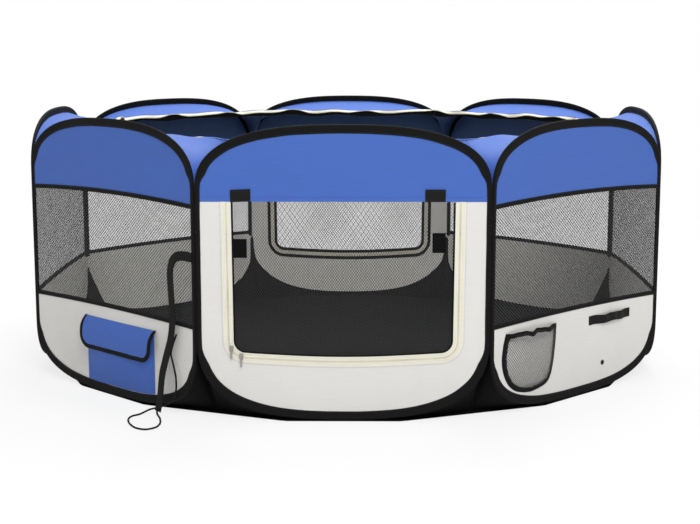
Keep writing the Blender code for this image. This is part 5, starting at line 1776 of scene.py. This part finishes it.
class PLAYPEN_OT_pocket(bpy.types.Operator):
    """Makes the storage pocket and its flap on the front left panel"""
    bl_idname = "playpen.pocket"
    bl_label = "Storage pocket"

    def execute(self, context):
        size = sizes()
        matrix, body = panel_matrix("front_left"), "front_left_panel"
        rows = []
        for rise in shares(20):
            fall = 1 - rise
            row = []
            for along in shares(30):
                share = 2 * along - 1
                u = POCKET_U + POCKET_HALF * share
                foot = max(POCKET_LOW, lip_rise("front_left", u) + 0.0012)
                z = POCKET_TOP - (POCKET_TOP - foot) * fall
                out = bag_depth(fall, share, POCKET_TOP_DEPTH, POCKET_DEPTH)
                hold = math.sin(math.pi * min(1.0, fall + 0.12))
                out += 0.0013 * wander(u * 16, z * 12, 81) * (1 - abs(share) ** 4) * hold
                row.append((u, -max(0.0012, out), z))
            rows.append(row)
        pouch = shell("blue_pocket_pouch", rows, size.cloth, ("blue", "navy"), matrix)
        settle(pouch, body, "blue_oxford", "pocket_pouch")
        rows_area(rows)
        lines = [[(row[i][0], row[i][1] - 0.0008, row[i][2]) for row in rows] for i in (1, 29)]
        lines.append([(u, v - 0.0008, z - 0.006) for u, v, z in rows[-1]])
        settle(stitches("pocket_stitches", lines, "blue_thread", matrix), body, "blue_oxford")
        self.flap(matrix, size)
        return {"FINISHED"}

    def flap(self, matrix, size):
        def at(share, fall):
            below = max(0.0, fall * FLAP_LENGTH - (FLAP_LENGTH - FLAP_CORNER))
            rounding = FLAP_CORNER - math.sqrt(max(0.0, FLAP_CORNER ** 2 - below ** 2))
            half = FLAP_HALF - rounding
            out = FLAP_BACK + (FLAP_DEPTH - FLAP_BACK) * (1 - (1 - fall) ** FLAP_CROWN)
            out += 0.0010 * wander(share * 3, fall * 2, 91) * fall
            return Vector((POCKET_U + half * share, -out, FLAP_TOP - FLAP_LENGTH * fall))

        falls = [0.0, 0.03, 0.07, 0.12, 0.18, 0.26, 0.36, 0.48, 0.60, 0.70, 0.79, 0.86, 0.91, 0.95, 0.98, 1.0]
        rows = [[at(2 * along - 1, fall) for along in shares(30)] for fall in falls[::-1]]
        cover = shell("pocket_flap_cloth", rows, size.cloth, ("blue", "navy"), matrix)
        settle(cover, "pocket_flap", "blue_oxford", "pocket_flap")
        rows_area(rows)
        left = [at(-1.0, fall) for fall in falls]
        foot = [at(2 * i / 30 - 1, 1.0) for i in range(1, 30)]
        path = left + foot + [at(1.0, fall) for fall in falls[::-1]]
        inward, out = [], []
        middle = Vector((POCKET_U, -0.015, FLAP_TOP - FLAP_LENGTH * 0.30))
        for i, p in enumerate(path):
            inward.append(toward(path, i, middle))
            out.append(OUTSIDE if p.z < FLAP_TOP - FLAP_SEAM else Vector((0.0, -0.6, 0.8)).normalized())
        tape = edge_tape("pocket_flap_binding", path, inward, out, matrix, FLAP_EDGE, 5)
        settle(tape, "pocket_flap", "black_binding")


def bottle_edges(z):
    """u of the bottle pocket's left and right edge at a height."""
    rows = BOTTLE_OUTLINE
    for (z0, l0, r0), (z1, l1, r1) in zip(rows, rows[1:]):
        if z1 <= z <= z0:
            share = (z0 - z) / (z0 - z1)
            return l0 + (l1 - l0) * share, r0 + (r1 - r0) * share
    return (rows[0][1], rows[0][2]) if z > rows[0][0] else (rows[-1][1], rows[-1][2])


def bottle_depth(u, z):
    left, right = bottle_edges(z)
    high, low = BOTTLE_OUTLINE[0][0], BOTTLE_OUTLINE[-1][0]
    share = 2 * (u - left) / (right - left) - 1
    return bag_depth((high - z) / (high - low), share, BOTTLE_TOP_DEPTH, BOTTLE_DEPTH)


class PLAYPEN_OT_bottle_pocket(bpy.types.Operator):
    """Makes the net bottle pocket and the elastic strap on the front right panel"""
    bl_idname = "playpen.bottle_pocket"
    bl_label = "Bottle pocket and elastic"

    def execute(self, context):
        matrix, body = panel_matrix("front_right"), "front_right_panel"
        low, foot_left, foot_right = BOTTLE_OUTLINE[-1]
        sides = []
        for corners in (
            [(left, z, 0) for z, left, right in BOTTLE_OUTLINE],
            [(foot_left, low, 0), (*BOTTLE_FOOT, 0), (foot_right, low, 0)],
            [(right, z, 0) for z, left, right in BOTTLE_OUTLINE],
        ):
            sides.append([(p.x, p.y) for p in smooth_route(corners, 0.004)])
        polygon = sides[0] + sides[1][1:-1] + sides[2][::-1]

        def depth_at(u, z):
            return -bottle_depth(u, max(z, low))

        mesh = net("bottle_pocket_net", polygon, depth_at, matrix, step=0.012)
        settle(mesh, body, "black_net", "bottle_pocket")
        path = [Vector((u, depth_at(u, z), z)) for u, z in polygon]
        middle = Vector(BOTTLE_MIDDLE)
        inward, out = [], []
        for i in range(len(path)):
            inward.append((toward(path, i, middle) + Vector((0.0, -0.35, 0.0))).normalized())
            out.append(OUTSIDE)
        tape = edge_tape("bottle_pocket_binding", path, inward, out, matrix, BOTTLE_EDGE, 8)
        settle(tape, body, "black_binding")
        self.top_tape(matrix, body, depth_at)
        self.elastic(matrix, body)
        return {"FINISHED"}

    def top_tape(self, matrix, body, depth_at):
        """The gathered tape along the pocket's mouth."""
        left, right = BOTTLE_OUTLINE[0][1:]
        across = [left + (right - left) * i / 40 for i in range(41)]
        rows = []
        for k in (0.0, 0.5, 1.0):
            row = []
            for u in across:
                share = (u - (left + right) / 2) / ((right - left) / 2)
                ripple = 0.0028 * math.sin(share * 9.0) + 0.0014 * math.sin(share * 17 + 1)
                ripple *= 1 - share ** 2
                v = depth_at(u, BOTTLE_OUTLINE[0][0]) + ripple * 0.6 - 0.0004
                row.append((u, v, BOTTLE_TAPE_LOW + BOTTLE_TAPE * k + ripple * 0.7))
            rows.append(row)
        top = shell("bottle_pocket_top_tape", rows, BOTTLE_TAPE_THICK, ("tape",), matrix)
        settle(top, body, "black_binding")

    def elastic(self, matrix, body):
        half = ELASTIC_WIDTH / 2
        rows = []
        for k in range(6):
            side = 2 * k / 5 - 1
            row = []
            for i in range(49):
                share = i / 24 - 1
                u = ELASTIC_U + ELASTIC_HALF * share
                hold = max(0.0, 1 - (share / 0.75) ** 2)
                pucker = ELASTIC_PUCKER * hold * math.sin(share * 15)
                pucker += 0.0002 * math.sin(share * 41) * (1 - share ** 4)
                out = ELASTIC_BACK + ELASTIC_STANDS * hold + pucker * (0.6 + 0.4 * side)
                wobble = 0.0012 * math.sin(share * 7 + 1.0) * (1 - share ** 2)
                row.append((u, -out, ELASTIC_Z + half * side * (1 - 0.06 * hold) + wobble))
            rows.append(row)
        uvs = [[(z, u) for u, _, z in row] for row in rows]
        strap = shell("elastic_strap_ribbed", rows, ELASTIC_THICK, ("webbing",), matrix, uvs)
        settle(strap, body, "black_webbing", "elastic_strap")
        lines = []
        for u in (ELASTIC_U - ELASTIC_HALF + 0.004, ELASTIC_U + ELASTIC_HALF - 0.004):
            lines.append([(u, -0.0028, ELASTIC_Z + half * (0.8 - 0.4 * k)) for k in range(5)])
        settle(stitches("elastic_stitches", lines, "black_thread", matrix), body, "black_webbing")


class PLAYPEN_OT_stage(bpy.types.Operator):
    """Sets the pale floor, the soft studio lamps and the white surroundings"""
    bl_idname = "playpen.stage"
    bl_label = "Stage"

    key: FloatProperty(
        name="Key lamp", description="Power of the lamp high at the front", default=108.0, unit="POWER",
    )
    top: FloatProperty(
        name="Top lamp", description="Power of the lamp overhead", default=120.0, unit="POWER",
    )
    around: FloatProperty(
        name="Surroundings", description="Brightness of the light from all sides", default=0.40,
    )

    def execute(self, context):
        self.paper()
        self.surroundings(context)
        self.lamp(context, "key_lamp", self.key, *KEY_LAMP)
        self.lamp(context, "top_lamp", self.top, *TOP_LAMP)
        context.scene.view_settings.view_transform = "Standard"
        return {"FINISHED"}

    def paper(self):
        """The pale paper under the pen."""
        mesh = bpy.data.meshes.new("studio_floor")
        far, z = STAGE_REACH, STAGE_Z
        mesh.from_pydata([(-far, -far, z), (far, -far, z), (far, far, z), (-far, far, z)], [], [(0, 1, 2, 3)])
        floor = link(mesh, "studio_floor")
        made, tree = new_material("studio_floor_paper")
        # Paper sweep: the camera sees it near white, with part of the pen's own shadow left on it
        place = object_places(tree)
        base = toned(tree, clouds_at(tree, place, 3.0, 2.0), colours().ground, 0.99, 1.01)
        paper = add(tree, "ShaderNodeBsdfPrincipled", {
            "Base Color": base, "Roughness": 0.9, "Specular IOR Level": 0.1,
        })
        glow = add(tree, "ShaderNodeEmission", {"Color": WHITE, "Strength": 1.0})
        seen = self.seen_rays(tree)
        # Far from the pen the paper meets the white surroundings without a line
        apart = add(tree, "ShaderNodeVectorMath", {0: place}, operation="LENGTH")
        white = mapped(tree, apart.outputs["Value"], 1.1, 3.2, 0.80, 1.0)
        share = reckon(tree, "MULTIPLY", seen, white)
        both = add(tree, "ShaderNodeMixShader", {0: share, 1: paper, 2: glow})
        add(tree, "ShaderNodeOutputMaterial", {"Surface": both})
        mesh.materials.append(made)

    def surroundings(self, context):
        """White to the camera, dimmer as a source of light."""
        world = bpy.data.worlds.new("white_studio")
        context.scene.world = world
        world.use_nodes = True
        tree = world.node_tree
        tree.nodes.clear()
        seen = self.seen_rays(tree)
        strength = add(tree, "ShaderNodeMix", {"Factor": seen, "A": self.around, "B": 1.0})
        back = add(tree, "ShaderNodeBackground", {"Color": WHITE, "Strength": strength})
        add(tree, "ShaderNodeOutputWorld", {"Surface": back})

    def seen_rays(self, tree):
        """1 for rays that the eye follows straight, in a mirror or through glass."""
        rays = add(tree, "ShaderNodeLightPath").outputs
        first = reckon(tree, "MAXIMUM", rays["Is Camera Ray"], rays["Is Glossy Ray"])
        return reckon(tree, "MAXIMUM", first, rays["Is Transmission Ray"])

    def lamp(self, context, name, power, place, target, size):
        data = bpy.data.lights.new(name, "AREA")
        data.energy = power
        data.shape = "SQUARE"
        data.size = size
        lamp = bpy.data.objects.new(name, data)
        context.scene.collection.objects.link(lamp)
        lamp.location = place
        way = Vector(target) - Vector(place)
        lamp.rotation_euler = way.to_track_quat("-Z", "Y").to_euler()


STEPS = (
    ("camera", "straps", "hoops", "bands", "skirts", "windows", "doors", "tabs"),
    ("floor", "roof", "pocket", "bottle_pocket", "stage"),
)


class PLAYPEN_PT_panel(bpy.types.Panel):
    """Lists the playpen's steps, sizes and colours"""
    bl_idname = "PLAYPEN_PT_panel"
    bl_label = "Dog playpen"
    bl_space_type = "VIEW_3D"
    bl_region_type = "UI"
    bl_category = "Playpen"

    def draw(self, context):
        layout = self.layout
        for group in STEPS:
            for step in group:
                layout.operator("playpen." + step)
        for settings in (context.scene.playpen_sizes, context.scene.playpen_colours):
            column = layout.column(align=True)
            for name in settings.bl_rna.properties.keys():
                if name not in ("rna_type", "name"):
                    column.prop(settings, name)


CLASSES = (
    PlaypenSizes, PlaypenColours, PLAYPEN_OT_camera, PLAYPEN_OT_straps, PLAYPEN_OT_hoops,
    PLAYPEN_OT_bands, PLAYPEN_OT_skirts, PLAYPEN_OT_windows, PLAYPEN_OT_doors, PLAYPEN_OT_tabs,
    PLAYPEN_OT_floor, PLAYPEN_OT_roof, PLAYPEN_OT_pocket, PLAYPEN_OT_bottle_pocket,
    PLAYPEN_OT_stage, PLAYPEN_PT_panel,
)


def register():
    for one in CLASSES:
        bpy.utils.register_class(one)
    bpy.types.Scene.playpen_sizes = PointerProperty(type=PlaypenSizes)
    bpy.types.Scene.playpen_colours = PointerProperty(type=PlaypenColours)


def unregister():
    del bpy.types.Scene.playpen_colours
    del bpy.types.Scene.playpen_sizes
    for one in reversed(CLASSES):
        bpy.utils.unregister_class(one)


def main():
    register()
    for group in STEPS:
        for step in group:
            getattr(bpy.ops.playpen, step)()
    bpy.context.view_layer.update()


if __name__ == "__main__":
    main()
